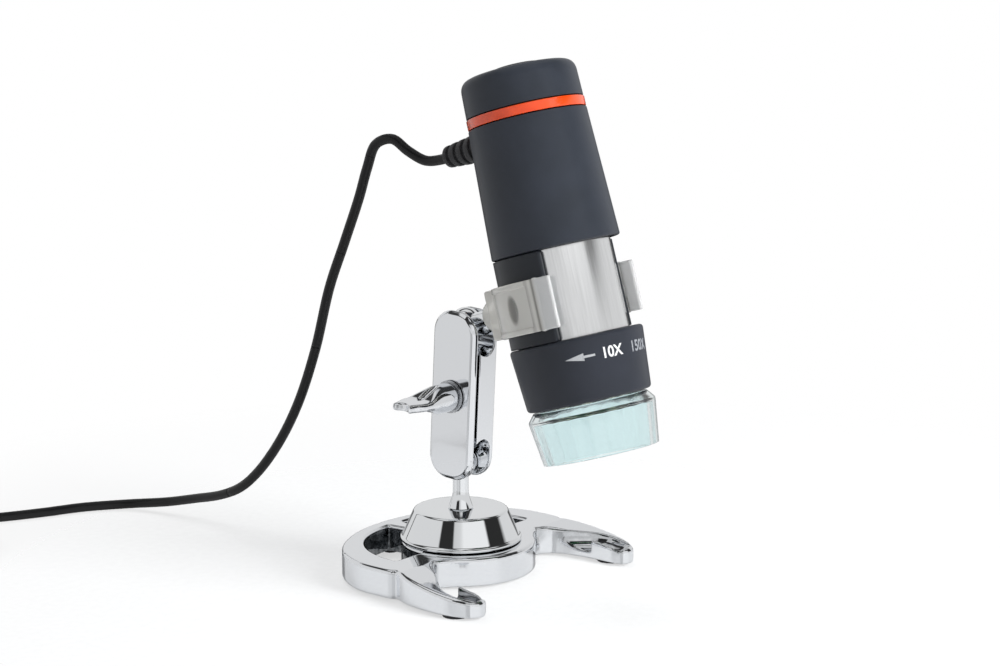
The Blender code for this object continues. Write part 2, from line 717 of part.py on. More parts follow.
def make_clamp_nut(parent):
    middle = BALL_SPAN / 2
    hexagon = arc((0, middle), NUT_FLATS / 2 / cos(pi / 6), 0, 2 * pi, 7)[:-1]
    nut = finish("clamp_nut", prism("clamp_nut", hexagon, JAW_FACE - NUT_HEIGHT, JAW_FACE, axis="X"),
                 parent, STEEL, 0.25, 1.0)
    hole = arc((0, middle), SCREW_RADIUS + GAP, 0, 2 * pi, SMALL_ROUND + 1)[:-1]
    bore = prism("bore", hole, -OVERRUN, JAW_FACE + OVERRUN, axis="X")
    boolean(nut, cutter("cut_nut_bore", bore, parent))


def make_jaw_spring(parent):
    """An open coil round the screw, between the near jaw and the floor of the far jaw's pocket."""
    first = NEAR_JAW_INNER + GAP + SPRING_WIRE_RADIUS
    length = SPRING_FLOOR - GAP - SPRING_WIRE_RADIUS - first
    radius = (SCREW_RADIUS + SPRING_POCKET_RADIUS) / 2
    per_turn = 10
    count = ceil(SPRING_TURNS * per_turn) + 1
    points = []
    for i in range(count):
        share = i / (count - 1)
        angle = 2 * pi * SPRING_TURNS * share
        points.append((first + length * share, radius * cos(angle), BALL_SPAN / 2 + radius * sin(angle)))
    tube("jaw_spring", points, SPRING_WIRE_RADIUS, 1, parent, STEEL, 0.3, 1.0)


def make_clamp_washer(parent):
    profile = [
        (SCREW_RADIUS + GAP, -WASHER_THICKNESS / 2),
        (WASHER_RADIUS, -WASHER_THICKNESS / 2),
        (WASHER_RADIUS, WASHER_THICKNESS / 2),
        (SCREW_RADIUS + GAP, WASHER_THICKNESS / 2),
    ]
    mesh = turned("clamp_washer", profile, MEDIUM_ROUND, axis="X")
    washer = finish("clamp_washer", mesh, parent, STEEL, 0.25, 1.0)
    washer.location = (-JAW_FACE - GAP - WASHER_THICKNESS / 2, 0, BALL_SPAN / 2)


def make_wing_screw(parent):
    """A round hub that flattens into a paddle with a hollowed end, and its shaft through both jaws."""
    count = 24
    bm = bmesh.new()
    rings = []
    for along, roundness, flatness in WING_STATION_SHARES:
        width = HUB_RADIUS + (WING_HALF_WIDTH - HUB_RADIUS) * flatness
        thickness = WING_HALF_THICKNESS + (HUB_RADIUS - WING_HALF_THICKNESS) * roundness
        ring = []
        for i in range(count):
            angle = 2 * pi * i / count
            y = width * cos(angle)
            notch = WING_END_NOTCH * (1 - (y / width) ** 2) if along > 0.9 else 0
            ring.append(bm.verts.new((-GAP - WING_LENGTH * along + notch, y, thickness * sin(angle))))
        rings.append(ring)
    for first, second in zip(rings, rings[1:]):
        for i in range(count):
            j = (i + 1) % count
            bm.faces.new((first[i], first[j], second[j], second[i]))
    end = rings[-1]
    for i in range(count // 2):
        mirror = [end[i], end[i + 1], end[(count - i - 1) % count], end[(count - i) % count]]
        corners = list(dict.fromkeys(mirror))
        bm.faces.new(corners)
    length = WASHER_THICKNESS + GAP + GAP + JAW_STACK
    top = rings[0]
    shaft = []
    for reach in (-GAP, length):
        ring = []
        for i in range(count):
            angle = 2 * pi * i / count
            ring.append(bm.verts.new((reach, SCREW_RADIUS * cos(angle), SCREW_RADIUS * sin(angle))))
        shaft.append(ring)
    for first, second in ((top, shaft[0]), (shaft[0], shaft[1])):
        for i in range(count):
            j = (i + 1) % count
            bm.faces.new((first[i], first[j], second[j], second[i]))
    bm.faces.new(shaft[1])
    finish("wing_screw", to_mesh("wing_screw", bm), parent, CHROME, 0.06, 1.0)


# Clip and its ball stud
def clip_outline():
    """Half the clip's plan from its back round to the lip, then mirrored. Angles run from the back."""
    outer = CLIP_BORE_RADIUS + CLIP_WALL
    lip_inner = CLIP_LIP_RADIUS - CLIP_LIP_THICKNESS
    block_angle = atan2(CLIP_BLOCK_HALF_WIDTH, sqrt(outer * outer - CLIP_BLOCK_HALF_WIDTH ** 2))

    def point(radius, angle):
        return radius * sin(angle), radius * cos(angle)

    half = [(CLIP_BLOCK_HALF_WIDTH, CLIP_BLOCK_BACK)]
    steps = 11
    for i in range(steps):
        half.append(point(outer, block_angle + (CLIP_ARM_SWEEP - block_angle) * i / (steps - 1)))
    half.append(point(CLIP_LIP_RADIUS, CLIP_LIP_SWEEP - CLIP_LIP_THICKNESS / CLIP_LIP_RADIUS))
    half.append(point((CLIP_LIP_RADIUS + lip_inner) / 2, CLIP_LIP_SWEEP))
    half.append(point(lip_inner, CLIP_LIP_SWEEP - CLIP_LIP_THICKNESS / CLIP_LIP_RADIUS))
    steps = 15
    for i in range(steps):
        half.append(point(CLIP_BORE_RADIUS, CLIP_ARM_SWEEP * (1 - i / (steps - 1))))
    other = [(-x, y) for x, y in reversed(half[:-1])]
    return half + other


def make_clip(parent):
    """Built round the tube axis, with the boss pointing back at the stand's upper ball."""
    half = CLIP_HEIGHT / 2
    clip = finish("clip", prism("clip", clip_outline(), -half, half, bevel=CLIP_PANEL_DEPTH, bevel_side=0),
                  parent, CLIP_GREY, 0.45, 0.0, 0.9)
    root = (CLIP_BORE_RADIUS + CLIP_BLOCK_BACK) / 2
    boss = [
        (0, root),
        (BOSS_ROOT_RADIUS, root),
        (BOSS_ROOT_RADIUS, CLIP_BLOCK_BACK + GAP),
        (BOSS_END_RADIUS, BOSS_END - CLIP_PANEL_DEPTH),
        (BOSS_END_RADIUS - CLIP_PANEL_DEPTH, BOSS_END),
        (0, BOSS_END),
    ]
    mesh = turned("boss", boss, MEDIUM_ROUND, axis="Y", closed=False)
    boolean(clip, cutter("add_boss", mesh, parent), "UNION")
    socket = [
        (0, BOSS_END - STUD_SOCKET_DEPTH),
        (STEM_RADIUS + GAP, BOSS_END - STUD_SOCKET_DEPTH),
        (STEM_RADIUS + GAP, BOSS_END + OVERRUN),
        (0, BOSS_END + OVERRUN),
    ]
    mesh = turned("socket", socket, SMALL_ROUND, axis="Y", closed=False)
    boolean(clip, cutter("cut_stud_socket", mesh, parent))
    floor = CLIP_BORE_RADIUS + CLIP_WALL - CLIP_PANEL_DEPTH
    roof = CLIP_BORE_RADIUS + CLIP_WALL + OVERRUN
    for side, word in ((-1, "near"), (1, "far")):
        low, high = (pi / 2 - side * sweep for sweep in CLIP_PANEL_SWEEPS)
        panel = arc((0, 0), roof, low, high, 11) + arc((0, 0), floor, high, low, 11)
        depth = half - CLIP_PANEL_BORDER
        boolean(clip, cutter(f"cut_panel_{word}", prism("panel", panel, -depth, depth), parent))


def make_clip_stud(parent):
    """Ball at the origin and a straight stem that ends in the clip's boss."""
    stem_end = CLIP_REACH - BOSS_END + STUD_SOCKET_DEPTH - GAP
    profile = ball_profile(BALL_RADIUS, STEM_RADIUS, 0, True) + [(STEM_RADIUS, -stem_end), (0, -stem_end)]
    mesh = turned("clip_stud", profile, SMALL_ROUND, axis="Y", closed=False)
    finish("clip_stud", mesh, parent, CHROME, 0.05, 1.0)


# Housing of the microscope; a station is a distance down the tube from its top
def down(profile):
    """Turns (radius, station) points into (radius, height) points."""
    return [(radius, -station) for radius, station in profile]


def corner(radius, station, size, quarter, count=4):
    """Points of a round corner. quarter 0 runs from a top face to a wall, 1 from a wall to a foot."""
    points = []
    for i in range(count):
        angle = pi / 2 * i / (count - 1)
        if quarter == 0:
            points.append((radius - size + size * sin(angle), station + size - size * cos(angle)))
        else:
            points.append((radius - size + size * cos(angle), station - size + size * sin(angle)))
    return points


def make_top_cap(parent):
    hole = BUTTON_RADIUS + GAP
    roof = CAP_CROWN + CAP_WALL
    profile = [(hole, 0)]
    profile += corner(CAP_RADIUS, CAP_CROWN, CAP_CORNER, 0, 5)
    profile += [(CAP_FOOT_RADIUS, CAP_LENGTH - GAP)]
    profile += [(CAP_FOOT_RADIUS - CAP_WALL, CAP_LENGTH - GAP), (CAP_RADIUS - CAP_WALL, roof), (hole, roof)]
    finish("top_cap", turned("top_cap", down(profile)), parent, HOUSING_GREY, 0.55)


def make_accent_ring(parent):
    profile = [
        (ACCENT_BORE_RADIUS, CAP_LENGTH),
        (ACCENT_RADIUS, CAP_LENGTH),
        (ACCENT_RADIUS, CAP_LENGTH + ACCENT_HEIGHT),
        (ACCENT_BORE_RADIUS, CAP_LENGTH + ACCENT_HEIGHT),
    ]
    finish("accent_ring", turned("accent_ring", down(profile)), parent, ORANGE, 0.35)


def shell_radius(station):
    share = (station - SHELL_START) / (SHELL_FOOT - SHELL_START)
    return SHELL_TOP_RADIUS + (SHELL_FOOT_RADIUS - SHELL_TOP_RADIUS) * share


def make_upper_shell(parent):
    profile = [
        (SHELL_TOP_RADIUS - SHELL_WALL, SHELL_START),
        (SHELL_TOP_RADIUS, SHELL_START),
        (SHELL_FOOT_RADIUS - SHELL_EDGE / 3, SHELL_FOOT - SHELL_EDGE),
        (SHELL_FOOT_RADIUS - SHELL_EDGE, SHELL_FOOT),
        (SHELL_FOOT_RADIUS - SHELL_WALL, SHELL_FOOT),
    ]
    shell = finish("upper_shell", turned("upper_shell", down(profile)), parent, HOUSING_GREY, 0.55)
    hole_radius = RELIEF_NECK_RADIUS + GAP
    hole = [
        (0, SHELL_TOP_RADIUS - SHELL_WALL - OVERRUN),
        (hole_radius, SHELL_TOP_RADIUS - SHELL_WALL - OVERRUN),
        (hole_radius, SHELL_FOOT_RADIUS + OVERRUN),
        (0, SHELL_FOOT_RADIUS + OVERRUN),
    ]
    tool = cutter("cut_relief_hole", turned("hole", hole, SMALL_ROUND, axis="Y", closed=False), parent)
    tool.location.z = -RELIEF_STATION
    boolean(shell, tool)


def neck_ledges():
    """Stations of the two ledges that the focus wheel turns between."""
    return SHELL_FOOT - NECK_COLLAR, CUP_TOP + NECK_COLLAR


def boss_circle_radius():
    return NECK_COLLAR_BORE_RADIUS - BOSS_RADIUS / 2


def screw_places():
    for i in range(BOARD_SCREW_COUNT):
        angle = 2 * pi * i / BOARD_SCREW_COUNT + pi / 6
        yield i, boss_circle_radius() * cos(angle), boss_circle_radius() * sin(angle)


def make_neck_shell(parent):
    """A collar up into the upper shell, the open neck round the wheel and a collar down into the cup."""
    high, low = neck_ledges()
    upper_spigot = NECK_SPIGOT_RADIUS - SHELL_WALL
    upper = shell_radius(NECK_TOP) - SHELL_WALL - 2 * GAP
    step = SHELL_FOOT - NECK_SPIGOT_STEP
    fitted = shell_radius(step) - SHELL_WALL - GAP
    profile = [
        (NECK_COLLAR_BORE_RADIUS, NECK_TOP),
        (upper, NECK_TOP),
        (upper, step),
        (fitted, step),
        (fitted, SHELL_FOOT + GAP),
        (NECK_TOP_RADIUS, SHELL_FOOT + GAP),
        (NECK_FOOT_RADIUS, CUP_TOP - GAP),
        (NECK_SPIGOT_RADIUS, CUP_TOP - GAP),
        (NECK_SPIGOT_RADIUS - CUP_WALL / 3, NECK_FOOT),
        (upper_spigot, NECK_FOOT),
        (upper_spigot, low),
        (NECK_BORE_RADIUS, low),
        (NECK_BORE_RADIUS, high),
        (NECK_COLLAR_BORE_RADIUS, high),
    ]
    neck = finish("neck_shell", turned("neck_shell", down(profile)), parent, HOUSING_GREY, 0.5)
    half = NECK_WINDOW_HALF_SWEEP
    wedge = [(0, 0)] + arc((0, 0), 2 * NECK_FOOT_RADIUS, -pi / 2 - half, -pi / 2 + half, 9)
    window = prism("window", wedge, -low, -high)
    boolean(neck, cutter("cut_neck_window", window, parent))
    for i, x, y in screw_places():
        ring = arc((x, y), BOSS_RADIUS, 0, 2 * pi, TINY_ROUND + 1)[:-1]
        pillar = prism("pillar", ring, -NECK_TOP - BOSS_LENGTH, -NECK_TOP)
        boolean(neck, cutter(f"add_pillar_{i}", pillar, parent), "UNION")
        hole = arc((x, y), BOARD_SCREW_RADIUS + GAP, 0, 2 * pi, TINY_ROUND + 1)[:-1]
        bore = prism("bore", hole, -NECK_TOP - BOARD_SCREW_REACH - GAP, -NECK_TOP + OVERRUN)
        boolean(neck, cutter(f"cut_pillar_{i}", bore, parent))


def make_focus_wheel(parent):
    high, low = neck_ledges()
    start, end = high + GAP, low - GAP
    profile = [
        (WHEEL_BORE_RADIUS, start),
        (WHEEL_RADIUS - WHEEL_EDGE, start),
        (WHEEL_RADIUS, start + WHEEL_EDGE),
        (WHEEL_RADIUS, end - WHEEL_EDGE),
        (WHEEL_RADIUS - WHEEL_EDGE, end),
        (WHEEL_BORE_RADIUS, end),
    ]
    finish("focus_wheel", turned("focus_wheel", down(profile)), parent, SATIN_SILVER, 0.3, 1.0)


def make_lower_cup(parent):
    pocket = NECK_SPIGOT_RADIUS + GAP
    seat = NOSE_NECK_RADIUS - NOSE_WALL + GAP
    mouth = CUP_FOOT - NOSE_SPIGOT_LENGTH + GAP
    profile = [(pocket, CUP_TOP)]
    profile += corner(CUP_TOP_RADIUS, CUP_TOP, CUP_TOP_CORNER, 0)
    profile += corner(CUP_FOOT_RADIUS, CUP_FOOT, CUP_FOOT_CORNER, 1)
    profile += [
        (seat, CUP_FOOT),
        (seat, mouth),
        (pocket - CUP_WALL / 3, mouth),
    ]
    finish("lower_cup", turned("lower_cup", down(profile)), parent, HOUSING_GREY, 0.5)


def make_nose_cap(parent):
    spigot = NOSE_NECK_RADIUS - NOSE_WALL
    bore = spigot - NOSE_WALL
    top = CUP_FOOT - NOSE_SPIGOT_LENGTH
    profile = [
        (bore, top),
        (spigot, top),
        (spigot, CUP_FOOT + GAP),
        (NOSE_NECK_RADIUS, CUP_FOOT + GAP),
        (NOSE_SHOULDER_RADIUS, NOSE_SHOULDER),
        (NOSE_SHOULDER_RADIUS, NOSE_SHOULDER + NOSE_SHOULDER_EDGE),
        (NOSE_TIP_RADIUS, TUBE_LENGTH),
        (NOSE_TIP_RADIUS - NOSE_WALL, TUBE_LENGTH),
        (NOSE_SHOULDER_RADIUS - NOSE_WALL, NOSE_SHOULDER + NOSE_SHOULDER_EDGE),
        (bore, CUP_FOOT + GAP),
    ]
    finish("nose_cap", turned("nose_cap", down(profile)), parent, CLEAR_TEAL, 0.08, 0.0, 0.45)


# Inside the microscope
def make_led_board(parent):
    foot = CUP_FOOT - NOSE_SPIGOT_LENGTH - GAP
    radius = NECK_SPIGOT_RADIUS - 2 * GAP
    profile = [
        (LED_BOARD_BORE_RADIUS, foot - BOARD_THICKNESS),
        (radius - CUP_WALL / 3, foot - BOARD_THICKNESS),
        (radius - CUP_WALL / 3, foot),
        (LED_BOARD_BORE_RADIUS, foot),
    ]
    finish("led_board", turned("led_board", down(profile), MEDIUM_ROUND), parent, BOARD_GREEN, 0.4)
    start = foot + GAP
    dome = LED_RADIUS * 0.8
    profile = [(0, start), (LED_RADIUS, start), (LED_RADIUS, start + LED_LENGTH - dome)]
    profile += [(LED_RADIUS * 0.7, start + LED_LENGTH - dome * 0.3), (0, start + LED_LENGTH)]
    for i in range(LED_COUNT):
        angle = 2 * pi * i / LED_COUNT
        name = f"led_{i + 1}"
        led = finish(name, turned(name, down(profile), TINY_ROUND, closed=False), parent, LED_WHITE, 0.2)
        led.location = (LED_CIRCLE_RADIUS * cos(angle), LED_CIRCLE_RADIUS * sin(angle), 0)


def make_lens_carrier(parent):
    """A flange that rides in the wheel's bore and a barrel for the lens; both slide on the tube axis."""
    barrel_end = CARRIER_LENGTH
    seat = LENS_RADIUS + GAP
    ledge = barrel_end - LENS_EDGE - 2 * LENS_BULGE - GAP
    profile = [
        (CARRIER_THROAT_RADIUS, 0),
        (CARRIER_FLANGE_RADIUS, 0),
        (CARRIER_FLANGE_RADIUS, CARRIER_FLANGE_LENGTH),
        (CARRIER_BARREL_RADIUS, CARRIER_FLANGE_LENGTH),
        (CARRIER_BARREL_RADIUS, barrel_end),
        (seat, barrel_end),
        (seat, ledge),
        (CARRIER_THROAT_RADIUS, ledge),
    ]
    mesh = turned("lens_carrier", down(profile), MEDIUM_ROUND)
    carrier = finish("lens_carrier", mesh, parent, CHIP_BLACK, 0.6)
    carrier.location.z = -CARRIER_STATION
    rim = ledge + GAP
    profile = [
        (0, rim),
        (LENS_RADIUS * 0.6, rim + LENS_BULGE / 3),
        (LENS_RADIUS, rim + LENS_BULGE),
        (LENS_RADIUS, rim + LENS_BULGE + LENS_EDGE),
        (LENS_RADIUS * 0.6, rim + LENS_BULGE * 5 / 3 + LENS_EDGE),
        (0, rim + 2 * LENS_BULGE + LENS_EDGE),
    ]
    mesh = turned("objective_lens", down(profile), MEDIUM_ROUND, closed=False)
    lens = finish("objective_lens", mesh, parent, LENS_GLASS, 0.02, 0.0, 0.4)
    lens.location.z = -CARRIER_STATION


def make_sensor_board(parent):
    foot = -(NECK_TOP - GAP)
    top = foot + BOARD_THICKNESS
    radius = shell_radius(NECK_TOP) - SHELL_WALL - 3 * GAP
    round_board = arc((0, 0), radius, 0, 2 * pi, MEDIUM_ROUND + 1)[:-1]
    board = finish("sensor_board", prism("sensor_board", round_board, foot, top),
                   parent, BOARD_GREEN, 0.4)
    for i, x, y in screw_places():
        hole = arc((x, y), BOARD_SCREW_RADIUS + GAP, 0, 2 * pi, TINY_ROUND + 1)[:-1]
        boolean(board, cutter(f"cut_board_{i}", prism("hole", hole, foot - OVERRUN, top + OVERRUN), parent))
        head = top + GAP
        profile = [
            (0, head + BOARD_SCREW_HEAD_HEIGHT),
            (BOARD_SCREW_HEAD_RADIUS, head + BOARD_SCREW_HEAD_HEIGHT),
            (BOARD_SCREW_HEAD_RADIUS, head),
            (BOARD_SCREW_RADIUS, head),
            (BOARD_SCREW_RADIUS, -NECK_TOP - BOARD_SCREW_REACH),
            (0, -NECK_TOP - BOARD_SCREW_REACH),
        ]
        name = f"board_screw_{i + 1}"
        screw = finish(name, turned(name, profile, TINY_ROUND, closed=False), parent, STEEL, 0.3, 1.0)
        screw.location = (x, y, 0)
    half = SENSOR_SIDE / 2
    sensor = block("image_sensor", (-half, -half, foot - GAP - SENSOR_HEIGHT), (half, half, foot - GAP))
    finish("image_sensor", sensor, parent, CHIP_BLACK, 0.15)
    half = CHIP_SIDE / 2
    chip = block("video_chip", (-half, -half, top + GAP), (half, half, top + GAP + CHIP_HEIGHT))
    finish("video_chip", chip, parent, CHIP_BLACK, 0.4)


def switch_top_station():
    return CAP_LENGTH - GAP - BOARD_THICKNESS - GAP - SWITCH_HEIGHT


def make_switch(parent):
    """The small board on the accent ring and the push switch under the button."""
    foot = -(CAP_LENGTH - GAP)
    radius = CAP_FOOT_RADIUS - CAP_WALL - 2 * GAP
    round_board = arc((0, 0), radius, 0, 2 * pi, MEDIUM_ROUND + 1)[:-1]
    plate = prism("button_board", round_board, foot, foot + BOARD_THICKNESS)
    finish("button_board", plate, parent, BOARD_GREEN, 0.4)
    half = SWITCH_SIDE / 2
    low = foot + BOARD_THICKNESS + GAP
    body = block("button_switch", (-half, -half, low), (half, half, low + SWITCH_HEIGHT))
    switch = finish("button_switch", body, parent, CHIP_BLACK, 0.4)
    hole = arc((0, 0), BUTTON_STEM_RADIUS + GAP, 0, 2 * pi, TINY_ROUND + 1)[:-1]
    depth = BUTTON_STEM_ENGAGE + BUTTON_TRAVEL + GAP
    well = prism("well", hole, low + SWITCH_HEIGHT - depth, low + SWITCH_HEIGHT + OVERRUN)
    boolean(switch, cutter("cut_switch_well", well, parent))


def make_snapshot_button(parent):
    flange = CAP_CROWN + CAP_WALL + GAP
    profile = [(0, -BUTTON_PROUD)]
    profile += corner(BUTTON_RADIUS, -BUTTON_PROUD, BUTTON_CORNER, 0)
    profile += [
        (BUTTON_RADIUS, flange),
        (BUTTON_FLANGE_RADIUS, flange),
        (BUTTON_FLANGE_RADIUS, flange + BUTTON_FLANGE),
        (BUTTON_STEM_RADIUS, flange + BUTTON_FLANGE),
        (BUTTON_STEM_RADIUS, switch_top_station() + BUTTON_STEM_ENGAGE),
        (0, switch_top_station() + BUTTON_STEM_ENGAGE),
    ]
    mesh = turned("snapshot_button", down(profile), MEDIUM_ROUND, closed=False)
    finish("snapshot_button", mesh, parent, HOUSING_GREY, 0.5)


def relief_start():
    return shell_radius(RELIEF_STATION) + GAP


def make_strain_relief(parent):
    """A flange inside the shell, a neck through its wall and a tapering body with ribs."""
    flange_face = sqrt((SHELL_TOP_RADIUS - SHELL_WALL) ** 2 - RELIEF_FLANGE_RADIUS ** 2) - GAP
    start = relief_start()
    profile = [
        (0, flange_face - RELIEF_FLANGE),
        (RELIEF_FLANGE_RADIUS, flange_face - RELIEF_FLANGE),
        (RELIEF_FLANGE_RADIUS, flange_face),
        (RELIEF_NECK_RADIUS, flange_face),
        (RELIEF_NECK_RADIUS, start),
    ]
    pitch = RELIEF_LENGTH / (RELIEF_RIBS + 0.5)
    for i in range(RELIEF_RIBS + 1):
        low = start + pitch * i
        for place in (low, min(low + pitch * 0.6, start + RELIEF_LENGTH)):
            share = (place - start) / RELIEF_LENGTH
            profile.append((RELIEF_RADIUS + (RELIEF_TIP_RADIUS - RELIEF_RADIUS) * share, place))
        if i < RELIEF_RIBS:
            for place in (low + pitch * 0.65, low + pitch * 0.95):
                share = (place - start) / RELIEF_LENGTH
                outer = RELIEF_RADIUS + (RELIEF_TIP_RADIUS - RELIEF_RADIUS) * share
                profile.append((outer - RELIEF_GROOVE_DEPTH, place))
    profile.append((0, start + RELIEF_LENGTH))
    mesh = turned("strain_relief", profile, SMALL_ROUND, axis="Y", closed=False)
    relief = finish("strain_relief", mesh, parent, BLACK_RUBBER, 0.6)
    relief.location.z = -RELIEF_STATION


# Cord
def smooth_line(points, spacing):
    """Points at an even spacing along a centripetal curve through the given ones."""
    given = [np.array(p, float) for p in points]
    given = [2 * given[0] - given[1]] + given + [2 * given[-1] - given[-2]]
    fine = []
    for a, b, c, d in zip(given, given[1:], given[2:], given[3:]):
        knots = [0.0]
        for near, far in ((a, b), (b, c), (c, d)):
            knots.append(knots[-1] + sqrt(np.linalg.norm(far - near)))
        for t in np.linspace(knots[1], knots[2], 24, endpoint=False):
            first = (a * (knots[1] - t) + b * t) / knots[1]
            mid = (b * (knots[2] - t) + c * (t - knots[1])) / (knots[2] - knots[1])
            last = (c * (knots[3] - t) + d * (t - knots[2])) / (knots[3] - knots[2])
            left = (first * (knots[2] - t) + mid * t) / knots[2]
            right = (mid * (knots[3] - t) + last * (t - knots[1])) / (knots[3] - knots[1])
            fine.append((left * (knots[2] - t) + right * (t - knots[1])) / (knots[2] - knots[1]))
    fine.append(given[-2])
    fine = np.array(fine)
    reach = np.concatenate(([0], np.cumsum(np.linalg.norm(np.diff(fine, axis=0), axis=1))))
    count = ceil(reach[-1] / spacing) + 1
    even = np.linspace(0, reach[-1], count)
    return np.stack([np.interp(even, reach, fine[:, k]) for k in range(3)], axis=1)


def tube(name, points, radius, resolution, parent, colour, roughness, metallic=0.0):
    """A round tube with filled ends along the points."""
    curve = bpy.data.curves.new(name, "CURVE")
    curve.dimensions = "3D"
    curve.bevel_depth = radius
    curve.bevel_resolution = resolution
    curve.use_fill_caps = True
    curve.render_resolution_u = 0
    spline = curve.splines.new("POLY")
    spline.points.add(len(points) - 1)
    for knot, place in zip(spline.points, points):
        knot.co = (*place, 1.0)
    made = bpy.data.objects.new(name, curve)
    bpy.context.scene.collection.objects.link(made)
    made.parent = parent
    curve.materials.append(material(name + "_finish", colour, roughness, metallic))
    return made


def path_length(points):
    return float(np.linalg.norm(np.diff(np.array(points), axis=0), axis=1).sum())


def least_gap(points, diameter):
    """The smallest clear distance between stretches of the tube that are not next to each other."""
    line = np.array(points)
    places = np.arange(0, len(line) - 1, 1 / GAP_SAMPLES)
    fine = np.stack([np.interp(places, np.arange(len(line)), line[:, k]) for k in range(3)], axis=1)
    reach = np.concatenate(([0], np.cumsum(np.linalg.norm(np.diff(fine, axis=0), axis=1))))
    apart = np.linalg.norm(fine[:, None] - fine[None], axis=2)
    near = np.abs(reach[:, None] - reach[None]) < GAP_NEIGHBOUR_DIAMETERS * diameter
    apart[near] = np.inf
    return float(apart.min()) - diameter


def cord_start():
    """The cord's first point and direction: straight out of the strain relief."""
    return TUBE_TOP - TUBE_UP * RELIEF_STATION + TUBE_BACK * (relief_start() + RELIEF_LENGTH + GAP)


def coil_frame():
    """Where the coil begins, its direction there, its centre and its outer radius."""
    last, before = Vector(CORD_ROUTE[-1]), Vector(CORD_ROUTE[-2])
    heading = Vector((last.x - before.x, last.y - before.y, 0)).normalized()
    level = CORD_RADIUS + TIE_THICKNESS + GAP
    entry = Vector((last.x, last.y, 0)) + heading * CORD_RUN_PAST_VIEW
    entry.z = level
    outer = COIL_MID_RADIUS + (CORD_DIAMETER + COIL_AIR) * COIL_TURNS / COIL_LAYERS / 2
    aside = Vector((-heading.y, heading.x, 0))
    return entry, heading, entry + aside * outer, outer, level


def make_cord(parent):
    start = cord_start()
    entry, heading, centre, outer, level = coil_frame()
    lead_in = entry - heading * CORD_DIAMETER
    end = lead_in - heading * GAP
    route = [start, start + TUBE_BACK * CORD_DIAMETER]
    route += [Vector(p) for p in CORD_ROUTE]
    route += [end - heading * 2 * CORD_DIAMETER, end]
    line = smooth_line(route, CORD_POINT_SPACING)
    line = np.concatenate((line[:1], [start + TUBE_BACK * CORD_RADIUS], line[1:-1],
                           [end - heading * CORD_RADIUS], line[-1:]))
    tube("cord", line, CORD_RADIUS, 2, parent, BLACK_RUBBER, 0.45)
    return line


def coil_points():
    """The coil from its straight start to the straight end at the plug.

    The turn radius falls and rises again at a steady rate, once for each pair of layers, and the line
    climbs one layer in the half turn round each change.
    """
    entry, heading, centre, outer, level = coil_frame()
    pitch = CORD_DIAMETER + COIL_AIR
    per_layer = COIL_TURNS / COIL_LAYERS
    start_angle = atan2(entry.y - centre.y, entry.x - centre.x)
    points = [entry - heading * CORD_DIAMETER]
    count = ceil(COIL_TURNS * COIL_LOOP_POINTS)
    for i in range(count + 1):
        turns = COIL_TURNS * i / count
        layer = min(int(turns / per_layer), COIL_LAYERS - 1)
        within = turns - layer * per_layer
        inward = within if layer % 2 == 0 else per_layer - within
        radius = outer - pitch * inward
        climb = 0.0
        for change in range(1, COIL_LAYERS):
            share = min(max((turns - change * per_layer) * 2 + 0.5, 0.0), 1.0)
            climb += share * share * (3 - 2 * share)
        angle = start_angle + 2 * pi * turns
        x, y = centre.x + radius * cos(angle), centre.y + radius * sin(angle)
        points.append(Vector((x, y, level + pitch * climb)))
    angle = start_angle + 2 * pi * COIL_TURNS
    ahead = Vector((-sin(angle), cos(angle), 0))
    last = points[-1]
    drop = PLUG_HEIGHT / 2 - last.z
    for i in range(TAIL_POINTS + 1):
        share = i / TAIL_POINTS
        place = last + ahead * (TAIL_STRAIGHT + TAIL_DROP_LENGTH * share)
        place.z = last.z + drop * share * share * (3 - 2 * share)
        points.append(place)
    points.append(points[-1] + ahead * CORD_DIAMETER)
    return points, ahead


def make_coil(parent):
    points, ahead = coil_points()
    tube("cord_coil", points, CORD_RADIUS, 1, parent, BLACK_RUBBER, 0.45)
    return points, ahead


def make_tie(parent):
    """A strap round the bundle of turns, standing on the bench."""
    entry, heading, centre, outer, level = coil_frame()
    pitch = CORD_DIAMETER + COIL_AIR
    low_radius = outer - pitch * COIL_TURNS / COIL_LAYERS - CORD_RADIUS - GAP
    high_radius = outer + CORD_RADIUS + GAP
    roof = level + pitch * (COIL_LAYERS - 1) + CORD_RADIUS + GAP
    bend = high_radius - sqrt(high_radius ** 2 - (TIE_WIDTH / 2) ** 2)
    low = (low_radius - bend - TIE_THICKNESS, -TIE_WIDTH / 2, 0)
    high = (high_radius + TIE_THICKNESS, TIE_WIDTH / 2, roof + TIE_THICKNESS)
    tie = finish("cord_tie", block("cord_tie", low, high, TIE_THICKNESS / 3), parent, BLACK_RUBBER, 0.7)
    hollow = block("hollow", (low_radius - bend, -TIE_WIDTH, TIE_THICKNESS), (high_radius, TIE_WIDTH, roof))
    tool = cutter("cut_tie", hollow, parent)
    for one in (tie, tool):
        one.location = (centre.x, centre.y, 0)
        one.rotation_euler.z = TIE_ANGLE
    boolean(tie, tool)


